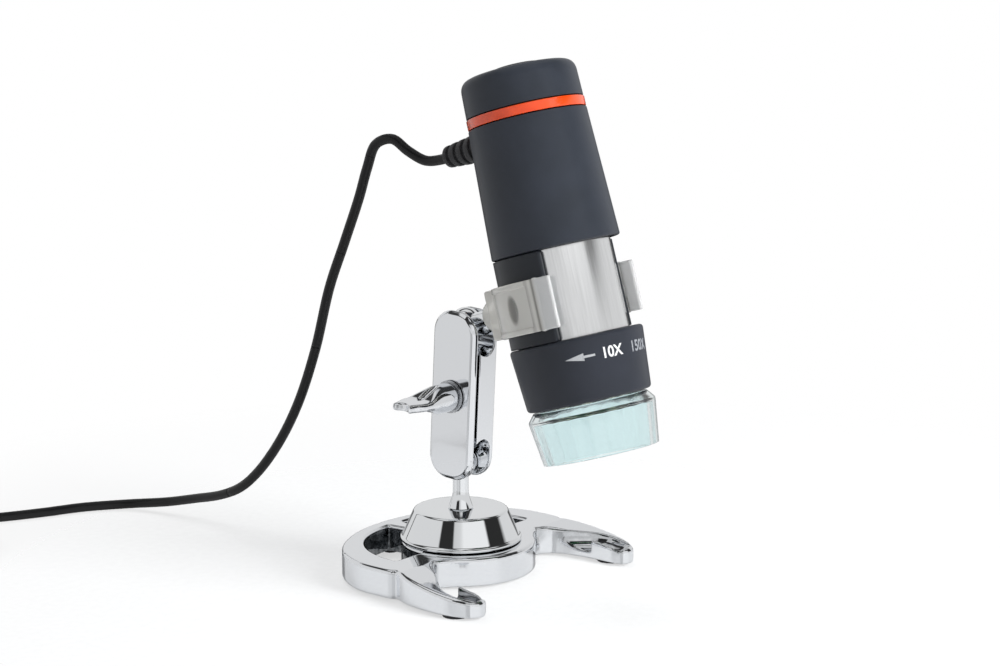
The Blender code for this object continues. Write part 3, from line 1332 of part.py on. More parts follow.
def make_plug(parent, start, ahead):
    """The plug lies flat on the bench: a tapering relief, a moulded grip, the metal shell and its tongue."""
    frame = empty("plug_frame", parent, start)
    frame.rotation_euler.z = atan2(ahead.y, ahead.x) - pi / 2
    grip_start = PLUG_RELIEF_LENGTH
    grip_end = grip_start + PLUG_LENGTH
    half_height = PLUG_HEIGHT / 2
    outline = rounded_box(PLUG_WIDTH / 2, -half_height, half_height, PLUG_CORNER, 4)
    grip = prism("usb_plug", outline, grip_start, grip_end, axis="Y", bevel=PLUG_CORNER / 2, bevel_side=0)
    plug = finish("usb_plug", grip, frame, BLACK_RUBBER, 0.5)
    neck = [
        (0, GAP),
        (PLUG_RELIEF_TIP_RADIUS, GAP),
        (PLUG_RELIEF_RADIUS, grip_start + PLUG_CORNER),
        (0, grip_start + PLUG_CORNER),
    ]
    tool = cutter("add_plug_relief", turned("neck", neck, SMALL_ROUND, axis="Y", closed=False), frame)
    boolean(plug, tool, "UNION")
    half_a, half_b = PLUG_SHELL_WIDTH / 2, PLUG_SHELL_HEIGHT / 2
    seat = block("seat", (-half_a - GAP, grip_end - PLUG_SHELL_SEAT - GAP, -half_b - GAP),
                 (half_a + GAP, grip_end + OVERRUN, half_b + GAP))
    boolean(plug, cutter("cut_plug_seat", seat, frame))
    shell_start = grip_end - PLUG_SHELL_SEAT
    shell_end = grip_end + PLUG_SHELL_LENGTH
    sleeve = block("plug_shell", (-half_a, shell_start, -half_b), (half_a, shell_end, half_b))
    shell = finish("plug_shell", sleeve,
                   frame, STEEL, 0.25, 1.0)
    inner_a, inner_b = half_a - PLUG_SHELL_WALL, half_b - PLUG_SHELL_WALL
    hollow = block("hollow", (-inner_a, shell_start + PLUG_SHELL_WALL, -inner_b),
                   (inner_a, shell_end + OVERRUN, inner_b))
    boolean(shell, cutter("cut_plug_hollow", hollow, frame))
    tongue_start = shell_start + PLUG_SHELL_WALL + GAP
    top = inner_b - GAP
    tongue = block("plug_tongue", (-TONGUE_WIDTH / 2, tongue_start, top - TONGUE_THICKNESS),
                   (TONGUE_WIDTH / 2, tongue_start + TONGUE_LENGTH, top))
    finish("plug_tongue", tongue, frame, PLUG_WHITE, 0.4)


def main():
    for thing in list(bpy.data.objects):
        bpy.data.objects.remove(thing, do_unlink=True)
    stand = empty("stand_frame", None, (0, ORIGIN_SHIFT, 0))
    make_base(stand)
    make_pads(stand)
    make_cone_cap(stand)
    make_post_screw(stand)
    make_post(empty("lower_ball_frame", stand, LOWER_BALL))

    arm = empty("arm_frame", stand, LOWER_BALL, ARM_LEAN)
    make_near_jaw(arm)
    make_far_jaw(arm)
    make_clamp_nut(arm)
    make_jaw_spring(arm)
    make_clamp_washer(arm)
    make_wing_screw(empty("wing_frame", arm, (-WASHER_FACE, 0, BALL_SPAN / 2)))

    make_clip_stud(empty("upper_ball_frame", stand, UPPER_BALL, -TUBE_LEAN))
    make_clip(empty("clip_frame", stand, CLIP_CENTRE, -TUBE_LEAN))

    scope = empty("tube_frame", stand, TUBE_TOP, -TUBE_LEAN)
    for make in (
        make_top_cap,
        make_accent_ring,
        make_upper_shell,
        make_neck_shell,
        make_focus_wheel,
        make_lower_cup,
        make_nose_cap,
        make_led_board,
        make_lens_carrier,
        make_sensor_board,
        make_switch,
        make_snapshot_button,
        make_strain_relief,
    ):
        make(scope)

    line = make_cord(stand)
    points, ahead = make_coil(stand)
    make_tie(stand)
    make_plug(stand, points[-1], ahead)
    print(f"free stretch {path_length(line):.4f} m, coil {path_length(points):.4f} m, "
          f"whole cord {path_length(line) + path_length(points):.4f} m")
    print(f"least gap of the coil to itself {least_gap(points, CORD_DIAMETER) * 1000:.2f} mm")


main()
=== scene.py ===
"""Looks of the hand-held digital microscope on its chromed ball-jointed stand.

Shapes are worked out in millimetres in the frame of the piece that carries them and placed in the row
frame in metres. A frame is an origin with the directions of its own X, Y and Z.
"""

import bmesh
import bpy
import numpy as np
from mathutils import Matrix


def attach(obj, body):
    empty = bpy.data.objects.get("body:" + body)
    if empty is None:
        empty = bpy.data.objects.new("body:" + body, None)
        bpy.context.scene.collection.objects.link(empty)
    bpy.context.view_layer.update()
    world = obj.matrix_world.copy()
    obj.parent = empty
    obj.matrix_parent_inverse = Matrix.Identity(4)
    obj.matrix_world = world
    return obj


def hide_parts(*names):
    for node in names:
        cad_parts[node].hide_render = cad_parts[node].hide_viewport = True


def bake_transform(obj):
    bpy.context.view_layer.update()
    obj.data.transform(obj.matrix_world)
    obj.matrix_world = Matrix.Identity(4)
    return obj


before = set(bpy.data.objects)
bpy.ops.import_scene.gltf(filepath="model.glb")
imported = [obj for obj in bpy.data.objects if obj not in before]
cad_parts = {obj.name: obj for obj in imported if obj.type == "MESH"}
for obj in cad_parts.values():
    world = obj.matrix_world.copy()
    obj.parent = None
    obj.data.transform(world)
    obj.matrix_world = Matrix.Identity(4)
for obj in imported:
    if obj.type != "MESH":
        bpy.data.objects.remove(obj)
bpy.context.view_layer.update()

MM = 0.001
ARM_LEAN = np.radians(3.1)
TUBE_LEAN = np.radians(16.4)
X_AXIS = np.array((1.0, 0.0, 0.0))
TUBE_UP = np.array((0.0, np.sin(TUBE_LEAN), np.cos(TUBE_LEAN)))
TUBE_BACK = np.array((0.0, np.cos(TUBE_LEAN), -np.sin(TUBE_LEAN)))
ARM_UP = np.array((0.0, -np.sin(ARM_LEAN), np.cos(ARM_LEAN)))
ARM_BACK = np.array((0.0, np.cos(ARM_LEAN), np.sin(ARM_LEAN)))
BALL_RADIUS = 4.6
STEM_RADIUS = 2.3
BALL_SPAN = 42.0
GAP = 0.3
CONE_TOP = 18.5
STEM_FOOT = np.array((0.0, 18.214184, 0.0))
LOWER_BALL = STEM_FOOT + (0, 0, 32.0)
UPPER_BALL = LOWER_BALL + BALL_SPAN * ARM_UP
CLIP_CENTRE = UPPER_BALL - 38.7 * TUBE_BACK
TUBE_TOP = CLIP_CENTRE + 65.8 * TUBE_UP

STAND = (STEM_FOOT, X_AXIS, np.array((0.0, 1.0, 0.0)), np.array((0.0, 0.0, 1.0)))
ARM = (LOWER_BALL, X_AXIS, ARM_BACK, ARM_UP)
TUBE = (TUBE_TOP, X_AXIS, TUBE_BACK, TUBE_UP)
CLIP = (CLIP_CENTRE, X_AXIS, TUBE_BACK, TUBE_UP)
WING = (LOWER_BALL + 21.0 * ARM_UP - (6.55, 0, 0), -X_AXIS, ARM_BACK, -ARM_UP)
STUD = (UPPER_BALL, X_AXIS, TUBE_UP, TUBE_BACK)

# The tube's pieces by their distance s from its top
CAP_FOOT = 11.5
RING_TOP, RING_FOOT = 11.8, 14.5
SHELL_TOP, SHELL_FOOT = 14.8, 51.4
RELIEF_STATION = 18.4
WHEEL_TOP, WHEEL_FOOT = 51.2, 76.9
WHEEL_RADIUS, WHEEL_BORE = 15.3, 13.8
CUP_TOP, CUP_FOOT = 76.7, 94.5
CUP_TOP_RADIUS, CUP_FOOT_RADIUS = 18.9, 17.5
NOSE_SHOULDER, NOSE_TIP = 97.9, 109.7
RELIEF = (TUBE_TOP - RELIEF_STATION * TUBE_UP, X_AXIS, -TUBE_UP, TUBE_BACK)


def shell_radius(s):
    """Radius of the tapered shell at the distance s from the tube's top."""
    return 16.8 + 1.4 * (s - SHELL_TOP) / (SHELL_FOOT - SHELL_TOP)


# Numbers to places

def to_row(points, place):
    """Millimetres in a piece's frame to metres in the row frame: origin plus x, y and z times its axes."""
    origin, ex, ey, ez = place
    axes = np.stack((ex, ey, ez))
    return (np.asarray(points, float) @ axes + origin) * MM


def smooth(t):
    """0 below 0, 1 above 1 and 3t^2 - 2t^3 between."""
    t = np.clip(t, 0, 1)
    return t * t * (3 - 2 * t)


def blend_max(a, b, reach):
    """The larger of two distances, rounded over where they are within reach of each other."""
    share = np.maximum(reach - np.abs(a - b), 0) / reach
    return np.maximum(a, b) + share * share * reach / 4


def blend_min(a, b, reach):
    """The smaller of two distances, rounded over the same way."""
    return -blend_max(-a, -b, reach)


def carve(shape, *cuts):
    """A distance field cut back by others, each (distance, reach) with its edge rounded over."""
    for distance, reach in cuts:
        shape = blend_max(shape, distance, reach)
    return shape


def box_distance(x, y, half_x, half_y, corner):
    """Distance to a rectangle about the origin with round corners, negative inside."""
    dx, dy = np.abs(x) - half_x + corner, np.abs(y) - half_y + corner
    outside = np.sqrt(np.maximum(dx, 0) ** 2 + np.maximum(dy, 0) ** 2)
    return outside + np.minimum(np.maximum(dx, dy), 0) - corner


def outline_distance(points, x, y):
    """Distance to a closed outline, negative inside: the nearest edge's, with the side by crossings."""
    x, y = np.broadcast_arrays(x, y)
    nearest = np.full(x.shape, 1e9)
    inside = np.zeros(x.shape, bool)
    for (ax, ay), (bx, by) in zip(points, np.roll(points, -1, axis=0)):
        ex, ey = bx - ax, by - ay
        t = np.clip(((x - ax) * ex + (y - ay) * ey) / (ex * ex + ey * ey), 0, 1)
        nearest = np.minimum(nearest, (x - ax - t * ex) ** 2 + (y - ay - t * ey) ** 2)
        crosses = (ay > y) != (by > y)
        if ey != 0:
            inside ^= crosses & (x < ax + (y - ay) / ey * ex)
    return np.where(inside, -1, 1) * np.sqrt(nearest)


def between(a, b, t, start, end):
    """The place at t on the straight way from a at start to b at end."""
    return (a * (end - t) + b * (t - start)) / (end - start)


def curve_through(points, count):
    """count points on a centripetal Catmull-Rom curve through the given ones."""
    given = np.asarray(points, float)
    given = np.vstack((2 * given[0] - given[1], given, 2 * given[-1] - given[-2]))
    fine = []
    for a, b, c, d in zip(given, given[1:], given[2:], given[3:]):
        t1 = np.sqrt(np.linalg.norm(b - a))
        t2 = t1 + np.sqrt(np.linalg.norm(c - b))
        t3 = t2 + np.sqrt(np.linalg.norm(d - c))
        t = np.linspace(t1, t2, 24, endpoint=False)[:, None]
        low, mid, high = between(a, b, t, 0, t1), between(b, c, t, t1, t2), between(c, d, t, t2, t3)
        left, right = between(low, mid, t, 0, t2), between(mid, high, t, t1, t3)
        fine.append(between(left, right, t, t1, t2))
    fine = np.vstack(fine + [given[-2:-1]])
    return resample(fine, count)


def distance_along(line):
    """The distance from a line's start to each of its points."""
    return np.concatenate(([0], np.cumsum(np.linalg.norm(np.diff(line, axis=0), axis=1))))


def points_at(line, reach):
    """The points of a line at the given distances along it."""
    own = distance_along(line)
    return np.stack([np.interp(reach, own, line[:, k]) for k in range(line.shape[1])], axis=1)


def resample(line, count):
    """count points of a line, evenly far apart along it."""
    return points_at(line, np.linspace(0, distance_along(line)[-1], count))


def filleted(corners, closed=True):
    """A profile of (r, s, radius) corners, each rounded by a parabola that touches both of its sides.

    A fillet takes up to half of a side that it shares with another fillet, and else nearly all of it.
    """
    points = np.array([c[:2] for c in corners], float)
    radii = np.array([c[2] if len(c) > 2 else 0 for c in corners], float)
    line = []
    for i, (p, radius) in enumerate(zip(points, radii)):
        if radius == 0 or (not closed and i in (0, len(points) - 1)):
            line.append(p[None])
            continue
        after_at = (i + 1) % len(points)
        before, after = points[i - 1] - p, points[after_at] - p
        before_length, after_length = np.linalg.norm(before), np.linalg.norm(after)
        before_share = 0.49 if radii[i - 1] else 0.98
        after_share = 0.49 if radii[after_at] else 0.98
        reach = min(radius, before_length * before_share, after_length * after_share)
        start, end = p + before / before_length * reach, p + after / after_length * reach
        t = np.linspace(0, 1, 9)[:, None]
        line.append(start * (1 - t) ** 2 + 2 * p * t * (1 - t) + end * t ** 2)
    return np.vstack(line)


# Objects and meshes

def new_object(name, data):
    """An object of the scene, at the origin."""
    made = bpy.data.objects.new(name, data)
    bpy.context.scene.collection.objects.link(made)
    return made


def aim(thing, right, up, back, place):
    """Turns and places a camera or a lamp, which looks against its own Z axis."""
    turn = np.eye(4)
    turn[:3] = np.stack((right, up, back, place), axis=1)
    thing.matrix_world = Matrix(turn.tolist())


def mesh_piece(name, points, faces, body=None, nodes=(), slot=None, finish=None, flat_angle=None):
    """An object at the origin from points in metres: doubles merged, faces turned out, shaded smooth.

    It gets its finish and the body that carries it, and hides the CAD nodes that it stands for; its slot is
    not used.
    """
    mesh = bpy.data.meshes.new(name)
    corners = [tuple(map(int, face)) for face in faces]
    mesh.from_pydata(np.asarray(points).reshape(-1, 3).tolist(), [], corners)
    bm = bmesh.new()
    bm.from_mesh(mesh)
    bmesh.ops.remove_doubles(bm, verts=bm.verts, dist=1e-7)
    bmesh.ops.recalc_face_normals(bm, faces=bm.faces)
    bm.to_mesh(mesh)
    bm.free()
    mesh.shade_smooth()
    if flat_angle:
        mesh.set_sharp_from_angle(angle=np.radians(flat_angle))
    piece = new_object(name, mesh)
    if finish:
        mesh.materials.append(finish)
    if body:
        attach(piece, body)
    if nodes:
        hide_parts(*nodes)
    return piece


def grid_faces(rows, columns, wrap_rows, wrap_columns):
    """Quads between neighbouring points of a rows by columns grid."""
    i = np.arange(rows if wrap_rows else rows - 1)[:, None]
    j = np.arange(columns if wrap_columns else columns - 1)[None]
    i2, j2 = (i + 1) % rows, (j + 1) % columns
    corners = (i * columns + j, i * columns + j2, i2 * columns + j2, i2 * columns + j)
    return np.stack(np.broadcast_arrays(*corners), axis=-1).reshape(-1, 4)


def lathe(name, profile, place, body, nodes, slot, finish, steps=144, closed=True, wave=None):
    """Points (r cos a, r sin a, -s) for a profile of (r, s) and angles a all the way round.

    wave(a, r, s) may change the radius with the angle.
    """
    profile = np.asarray(profile, float)
    a = np.linspace(0, 2 * np.pi, steps, endpoint=False)[:, None]
    r, s = profile[None, :, 0], profile[None, :, 1]
    if wave:
        r = wave(a, r, s)
    points = np.stack(np.broadcast_arrays(r * np.cos(a), r * np.sin(a), -s), axis=-1)
    faces = grid_faces(steps, len(profile), True, closed)
    return mesh_piece(name, to_row(points, place), faces, body, nodes, slot, finish, flat_angle=38)


LEAST_SLOPE_SQUARED = 0.2


def field_surface(field, low, high, step):
    """Points and quads of the surface where a distance field is zero.

    Each cell of the grid that the surface crosses holds one point, which is pulled onto the surface
    along the field's slope, and each grid edge that it crosses makes a quad of the four cells round it.
    """
    axes = [np.arange(a, b + step, step) for a, b in zip(low, high)]
    shape = tuple(len(a) for a in axes)
    values = field(axes[0][:, None, None], axes[1][None, :, None], axes[2][None, None])
    inside = np.broadcast_to(values, shape) < 0
    count = np.zeros(tuple(n - 1 for n in shape), int)
    for corner in np.ndindex(2, 2, 2):
        count += inside[tuple(slice(at, size - 1 + at) for at, size in zip(corner, shape))]
    crossed = (count > 0) & (count < 8)
    index = np.full(count.shape, -1)
    index[crossed] = np.arange(crossed.sum())
    cells = np.argwhere(crossed)
    points = np.stack([axes[k][0] + (cells[:, k] + 0.5) * step for k in range(3)], axis=1)
    small = step * 0.05
    for _ in range(4):
        here = field(*points.T)
        there = [field(*(points + small * direction).T) for direction in np.eye(3)]
        slope = np.stack([(value - here) / small for value in there], axis=1)
        size = np.maximum((slope ** 2).sum(axis=1), LEAST_SLOPE_SQUARED)
        points -= np.clip(here / size, -step, step)[:, None] * slope
    quads = []
    for axis in range(3):
        first = [slice(1, -1)] * 3
        first[axis] = slice(0, -1)
        second = list(first)
        second[axis] = slice(1, None)
        change = inside[tuple(first)] != inside[tuple(second)]
        where = np.argwhere(change) + [0 if k == axis else 1 for k in range(3)]
        b, c = [k for k in range(3) if k != axis]
        ring = []
        for db, dc in ((-1, -1), (0, -1), (0, 0), (-1, 0)):
            cell = where.copy()
            cell[:, b] += db
            cell[:, c] += dc
            ring.append(index[tuple(cell.T)])
        quads.append(np.stack(ring, axis=1))
    return points, np.vstack(quads)


def cast(name, field, low, high, step, place, body, nodes, slot, finish):
    """A piece with soft cast edges, as the zero surface of its distance field."""
    points, quads = field_surface(field, low, high, step)
    return mesh_piece(name, to_row(points, place), quads, body, nodes, slot, finish)


def tube_mesh(points, radius, sides=16):
    """A circle of the given radius carried along points, its first direction turned as little as can be."""
    line = np.asarray(points, float)
    ahead = np.gradient(line, axis=0)
    ahead /= np.linalg.norm(ahead, axis=1)[:, None]
    side = np.cross(ahead[0], (0.3, 0.1, 1.0))
    sides_of = []
    for direction in ahead:
        side = side - direction * (side @ direction)
        side /= np.linalg.norm(side)
        sides_of.append(side)
    side = np.array(sides_of)
    up = np.cross(ahead, side)
    a = np.linspace(0, 2 * np.pi, sides, endpoint=False)[None, :, None]
    rings = line[:, None] + radius * (np.cos(a) * side[:, None] + np.sin(a) * up[:, None])
    count = len(line)
    verts = np.vstack((rings.reshape(-1, 3), line[:1], line[-1:]))
    faces = grid_faces(count, sides, False, True).tolist()
    j = np.arange(sides)
    faces += np.stack((j, (j + 1) % sides, np.full(sides, count * sides)), axis=1).tolist()
    base = (count - 1) * sides
    faces += np.stack((base + (j + 1) % sides, base + j, np.full(sides, count * sides + 1)), axis=1).tolist()
    return verts, faces


# Materials

def tone(value):
    """An sRGB hex colour as linear RGBA."""
    parts = np.array([int(value[i:i + 2], 16) for i in (1, 3, 5)]) / 255
    linear = np.where(parts <= 0.04045, parts / 12.92, ((parts + 0.055) / 1.055) ** 2.4)
    return (*linear.tolist(), 1.0)


def add(tree, kind, links=(), stops=(), into=None, **values):
    """A shader node with its settings and input values.

    links are the (input, node, output) triples that feed it, stops the (place, colour) stops of a colour
    ramp, and into is the (node, input) that its first output feeds.
    """
    node = tree.nodes.new("ShaderNode" + kind)
    for key, value in values.items():
        socket = key.replace("_", " ")
        if socket in node.inputs:
            node.inputs[socket].default_value = value
        else:
            setattr(node, key, value)
    for socket, source, output in links:
        tree.links.new(source.outputs[output], node.inputs[socket])
    if stops:
        while len(node.color_ramp.elements) < len(stops):
            node.color_ramp.elements.new(0.5)
        for element, (place, colour) in zip(node.color_ramp.elements, stops):
            element.position = place
            element.color = colour
    if into:
        tree.links.new(node.outputs[0], into[0].inputs[into[1]])
    return node


def grey(value):
    """A linear grey as RGBA."""
    return (value, value, value, 1.0)


def start(name, colour, roughness, metallic=0.0, **values):
    """A material, its node tree and Principled shader, and the link that gives its patterns their place."""
    made = bpy.data.materials.new(name)
    made.use_nodes = True
    tree = made.node_tree
    shader = tree.nodes["Principled BSDF"]
    shader.inputs["Base Color"].default_value = tone(colour)
    shader.inputs["Roughness"].default_value = roughness
    shader.inputs["Metallic"].default_value = metallic
    for key, value in values.items():
        shader.inputs[key.replace("_", " ")].default_value = value
    return made, tree, shader, [("Vector", add(tree, "TexCoord"), "Object")]


def steer(tree, shader, source, tones=(), gloss=(), relief=None, output="Fac"):
    """Lets a pattern's value set what a surface looks like.

    tones are (value, sRGB hex) and gloss (value, roughness) stops, relief is (strength, depth in mm).
    """
    if tones:
        add(tree, "ValToRGB", [("Fac", source, output)], into=(shader, "Base Color"),
            stops=[(value, tone(colour)) for value, colour in tones])
    if gloss:
        add(tree, "ValToRGB", [("Fac", source, output)], into=(shader, "Roughness"),
            stops=[(value, grey(roughness)) for value, roughness in gloss])
    if relief:
        strength, depth = relief
        add(tree, "Bump", [("Height", source, output)], Strength=strength, Distance=depth * MM,
            into=(shader, "Normal"))


def one_noise(name, colour, roughness, scale, detail=2.0, tones=(), gloss=(), relief=None, **values):
    """A material that one noise steers; scale is the number of its waves in a metre."""
    made, tree, shader, place = start(name, colour, roughness, **values)
    noise = add(tree, "TexNoise", place, Scale=scale, Detail=detail)
    steer(tree, shader, noise, tones, gloss, relief)
    return made


def moulded_abs(name, colour, lighter, roughness):
    """ABS moulded against a spark-eroded tool: an even fine grain and a soft, slightly greasy sheen.

    The grain of the real tool is about 0.1 mm and is drawn at 0.35 mm so that it shows.
    """
    grain = 0.35 * MM
    made, tree, shader, place = start(name, colour, roughness, IOR=1.54, Specular_IOR_Level=0.25)
    fine = add(tree, "TexNoise", place, Scale=1 / grain, Detail=3.0, Roughness=0.6)
    wide = add(tree, "TexNoise", place, Scale=90.0, Detail=2.0)
    steer(tree, shader, wide, tones=((0.35, colour), (0.7, lighter)),
          gloss=((0.3, roughness - 0.05), (0.75, roughness + 0.06)))
    steer(tree, shader, fine, relief=(0.5, 0.03))
    return made


def chrome_plate():
    """Zinc casting, polished and chrome plated: a mirror with the faint waves of the polished casting.

    Painted shade: an attribute of the mesh paints the mirror's colour dark inside the openings of the base,
    and less so in its scoops.
    """
    bright, dark = "#E4E6E9", "#3E4448"
    made, tree, shader, place = start("chrome_plated_zinc_casting", bright, 0.045, 1.0)
    wave = add(tree, "TexNoise", place, Scale=110.0, Detail=1.5, Roughness=0.4)
    haze = add(tree, "TexNoise", place, Scale=700.0, Detail=4.0)
    steer(tree, shader, haze, gloss=((0.45, 0.035), (0.72, 0.09)))
    steer(tree, shader, wave, relief=(0.35, 0.1))
    # Painted shade: the attribute, broken up a little by the haze, darkens the mirror towards the dark tone.
    painted_shade = add(tree, "Attribute", attribute_name="painted_shade")
    grain = add(tree, "MapRange", [("Value", haze, "Fac")], From_Min=0.35, From_Max=0.65, To_Min=1.0,
                To_Max=0.72)
    painted_shade_share = add(tree, "Math", [(0, painted_shade, "Fac"), (1, grain, "Result")], operation="MULTIPLY")
    steer(tree, shader, painted_shade_share, tones=((0.0, bright), (1.0, dark)), output="Value")
    return made


def satin_aluminium():
    """Aluminium tube, brushed along its length and clear anodised: long soft highlights across it."""
    made, tree, shader, place = start("brushed_anodised_aluminium", "#E6E7E8", 0.2, 1.0)
    turn = add(tree, "Mapping", place, vector_type="TEXTURE",
               Rotation=(-TUBE_LEAN, 0, 0), Scale=(0.5 * MM, 0.5 * MM, 20 * MM))
    lines = add(tree, "TexNoise", [("Vector", turn, "Vector")], Scale=1.0, Detail=3.0, Roughness=0.65)
    steer(tree, shader, lines, tones=((0.3, "#DEDFE0"), (0.7, "#EDEEEF")), gloss=((0.3, 0.17), (0.7, 0.25)),
          relief=(0.35, 0.02))
    return made


def frosted_polycarbonate():
    """Unfilled polycarbonate, etched by its tool: milky and half clear, with polished white lips.

    The mesh's polish attribute is 1 on the lips; its other attribute is painted shade, standing for the dark
    tube seen through the wall, in the pockets, at the root of the lips and at the ends of the panels.
    """
    made, tree, shader, place = start(
        "frosted_polycarbonate", "#D9D7CF", 0.3, IOR=1.58, Transmission_Weight=0.5, Coat_Weight=0.2,
        Coat_Roughness=0.2)
    cloud = add(tree, "TexNoise", place, Scale=110.0, Detail=2.0)
    milky = add(tree, "ValToRGB", [("Fac", cloud, "Fac")],
                stops=[(0.3, tone("#E9E7E1")), (0.7, tone("#F4F3EE"))])
    lips = add(tree, "Attribute", attribute_name="polish")
    # Painted shade: the milky colour darkens towards #8D8C87 in the pockets, at the root of the lips and at
    # the ends of the panels.
    painted_shade_share = add(tree, "Attribute", attribute_name="painted_shade_share")
    dim = add(tree, "Mix", [("Factor", painted_shade_share, "Fac"), (6, milky, "Color")], data_type="RGBA")
    dim.inputs[7].default_value = tone("#8D8C87")
    shade = add(tree, "Mix", [("Factor", lips, "Fac"), (6, dim, 2)], data_type="RGBA")
    shade.inputs[7].default_value = tone("#F1F2F2")
    tree.links.new(shade.outputs[2], shader.inputs["Base Color"])
    etched = add(tree, "MapRange", [("Value", cloud, "Fac")], To_Min=0.14, To_Max=0.3)
    gloss = add(tree, "Mix", [("Factor", lips, "Fac"), (2, etched, "Result")], data_type="FLOAT")
    gloss.inputs[3].default_value = 0.06
    tree.links.new(gloss.outputs[0], shader.inputs["Roughness"])
    fine = add(tree, "TexNoise", place, Scale=1400.0, Detail=2.0)
    steer(tree, shader, fine, relief=(0.15, 0.03))
    return made


def paper_sweep():
    """White paper sweep: matt, next to no tone, and it fades into the white world away from the object.

    The fade is a ramp over the distance from the middle, and holds only for rays that show the background.
    """
    made, tree, shader, place = start("white_paper_sweep", "#F7F8F9", 0.9, Specular_IOR_Level=0.1)
    fine = add(tree, "TexNoise", place, Scale=400.0, Detail=3.0)
    steer(tree, shader, fine, tones=((0.3, "#F6F7F8"), (0.7, "#FAFBFC")))
    ray = add(tree, "LightPath")
    seen = add(tree, "Math", [(0, ray, "Is Camera Ray"), (1, ray, "Is Glossy Ray")], operation="MAXIMUM")
    seen = add(tree, "Math", [(0, seen, "Value"), (1, ray, "Is Transmission Ray")], operation="MAXIMUM")
    away = add(tree, "VectorMath", place, operation="LENGTH")
    fade = add(tree, "MapRange", [("Value", away, "Value")], From_Min=0.07, From_Max=0.26, To_Min=0.55,
               To_Max=1.0)
    share = add(tree, "Math", [(0, fade, "Result"), (1, seen, "Value")], operation="MULTIPLY")
    clear = add(tree, "BsdfTransparent")
    mixed = add(tree, "MixShader", [(0, share, "Value"), (1, shader, 0), (2, clear, 0)])
    tree.links.new(mixed.outputs[0], tree.nodes["Material Output"].inputs["Surface"])
    return made


def printed_ink(name, colour, worn):
    """Silk-screened ink: a fine film, matt and a little uneven at this size."""
    return one_noise(name, colour, 0.55, 4000.0, tones=((0.3, worn), (0.6, colour)))


def circuit_board():
    """Glass-epoxy board under green solder mask, where darker tracks 0.4 mm wide run square to each other."""
    made, tree, shader, place = start("solder_masked_board", "#1F6B41", 0.32, Coat_Weight=0.4)
    cells = add(tree, "TexBrick", place, into=(shader, "Base Color"), Scale=1 / (5 * MM), Mortar_Size=0.04,
                Color1=tone("#1F6B41"), Color2=tone("#247748"), Mortar=tone("#134A2C"))
    steer(tree, shader, cells, relief=(0.4, 0.03))
    return made


CHROME = chrome_plate()
# Turned steel, polished and chrome plated: a clean mirror with next to no waves
TURNED = one_noise("chrome_plated_turned_steel", "#E6E8EA", 0.04, 600.0, 4.0, metallic=1.0,
                   gloss=((0.45, 0.03), (0.75, 0.08)))
HOUSING = moulded_abs("soft_touch_painted_abs", "#2A2E35", "#2F333B", 0.42)
CUP_PAINT = moulded_abs("soft_touch_painted_abs_cup", "#292C33", "#2D3038", 0.46)
NECK_ABS = moulded_abs("moulded_dark_abs", "#1F2227", "#24272C", 0.42)
# Orange ABS ring, moulded and polished: a clear hard gloss
ORANGE = one_noise("polished_orange_abs", "#D64007", 0.22, 150.0, IOR=1.54, Coat_Weight=0.5,
                   Coat_Roughness=0.08, tones=((0.3, "#D23C05"), (0.7, "#DC4609")), relief=(0.3, 0.03))
SATIN = satin_aluminium()
# Water-clear polycarbonate with a blue-green tint, moulded and polished, faint flow lines inside
CLEAR = one_noise("clear_tinted_polycarbonate", "#E6F4F5", 0.03, 60.0, IOR=1.5, Transmission_Weight=1.0,
                  gloss=((0.4, 0.02), (0.7, 0.09)), relief=(0.2, 0.06))
FROSTED = frosted_polycarbonate()
# Extruded PVC sheath: black, half gloss, with the faint long waves of extrusion
CABLE = one_noise("extruded_black_pvc", "#0B0B0D", 0.38, 900.0, 3.0, IOR=1.53, Specular_IOR_Level=0.3,
                  gloss=((0.3, 0.32), (0.7, 0.46)), relief=(0.35, 0.05))
# Moulded black rubber: matt, dusty, with a fine pebble from its tool
RUBBER = one_noise("moulded_black_rubber", "#1B1B1D", 0.7, 2500.0, 3.0, IOR=1.5, Sheen_Weight=0.15,
                   tones=((0.3, "#1B1B1D"), (0.75, "#2A2A2D")), relief=(0.5, 0.05))
INK = printed_ink("silk_screened_white_ink", "#E4E5E6", "#C9CBCD")
ARROW_INK = printed_ink("silk_screened_grey_ink", "#B2B4B7", "#A0A2A5")
WORN_INK = printed_ink("worn_silk_screened_ink", "#94979C", "#72757B")
BOARD = circuit_board()
# Black epoxy of a chip or lens mount: matt with a faint sparkle of filler
CHIP = one_noise("moulded_black_epoxy", "#1E1E21", 0.55, 5000.0, tones=((0.4, "#1A1A1D"), (0.75, "#2D2D31")),
                 relief=(0.4, 0.02))
# White LED: water-clear epoxy over a small yellow die, which shows through its dome
LED = one_noise("clear_led_epoxy", "#F4F3E4", 0.08, 600.0, IOR=1.52, Transmission_Weight=0.35,
                tones=((0.35, "#EDE7BE"), (0.6, "#F7F7F2")))
# Polished crown glass with a faint blue anti-reflection coat, a few dust specks
GLASS = one_noise("coated_crown_glass", "#DCE6F4", 0.01, 3000.0, 1.0, IOR=1.52, Transmission_Weight=0.95,
                  Coat_Weight=0.4, gloss=((0.62, 0.01), (0.75, 0.12)))
# Drawn or stamped steel under bright zinc: satin, with short scratches
STEEL = one_noise("zinc_plated_steel", "#B4B6B9", 0.3, 1800.0, 4.0, metallic=1.0,
                  gloss=((0.3, 0.22), (0.7, 0.42)), relief=(0.4, 0.02))
# Moulded white nylon of the plug's tongue, half gloss
NYLON = one_noise("moulded_white_nylon", "#E9E8E2", 0.4, 1500.0, tones=((0.3, "#E0DFD8"), (0.7, "#F0EFEA")))


# Camera: the stem's foot on the bench is at FOOT_PIXEL of the photograph, CAMERA_DEPTH ahead in millimetres

PHOTO_WIDTH = 1000
PHOTO_MIDDLE = (500, 333)
FOOT_PIXEL = (461, 568)
FOCAL_PIXELS = 2160.0
CAMERA_DEPTH = 639.0
CAMERA_AZIMUTH = np.radians(-50)
CAMERA_PITCH = np.radians(10.4)
FILM_WIDTH = 36


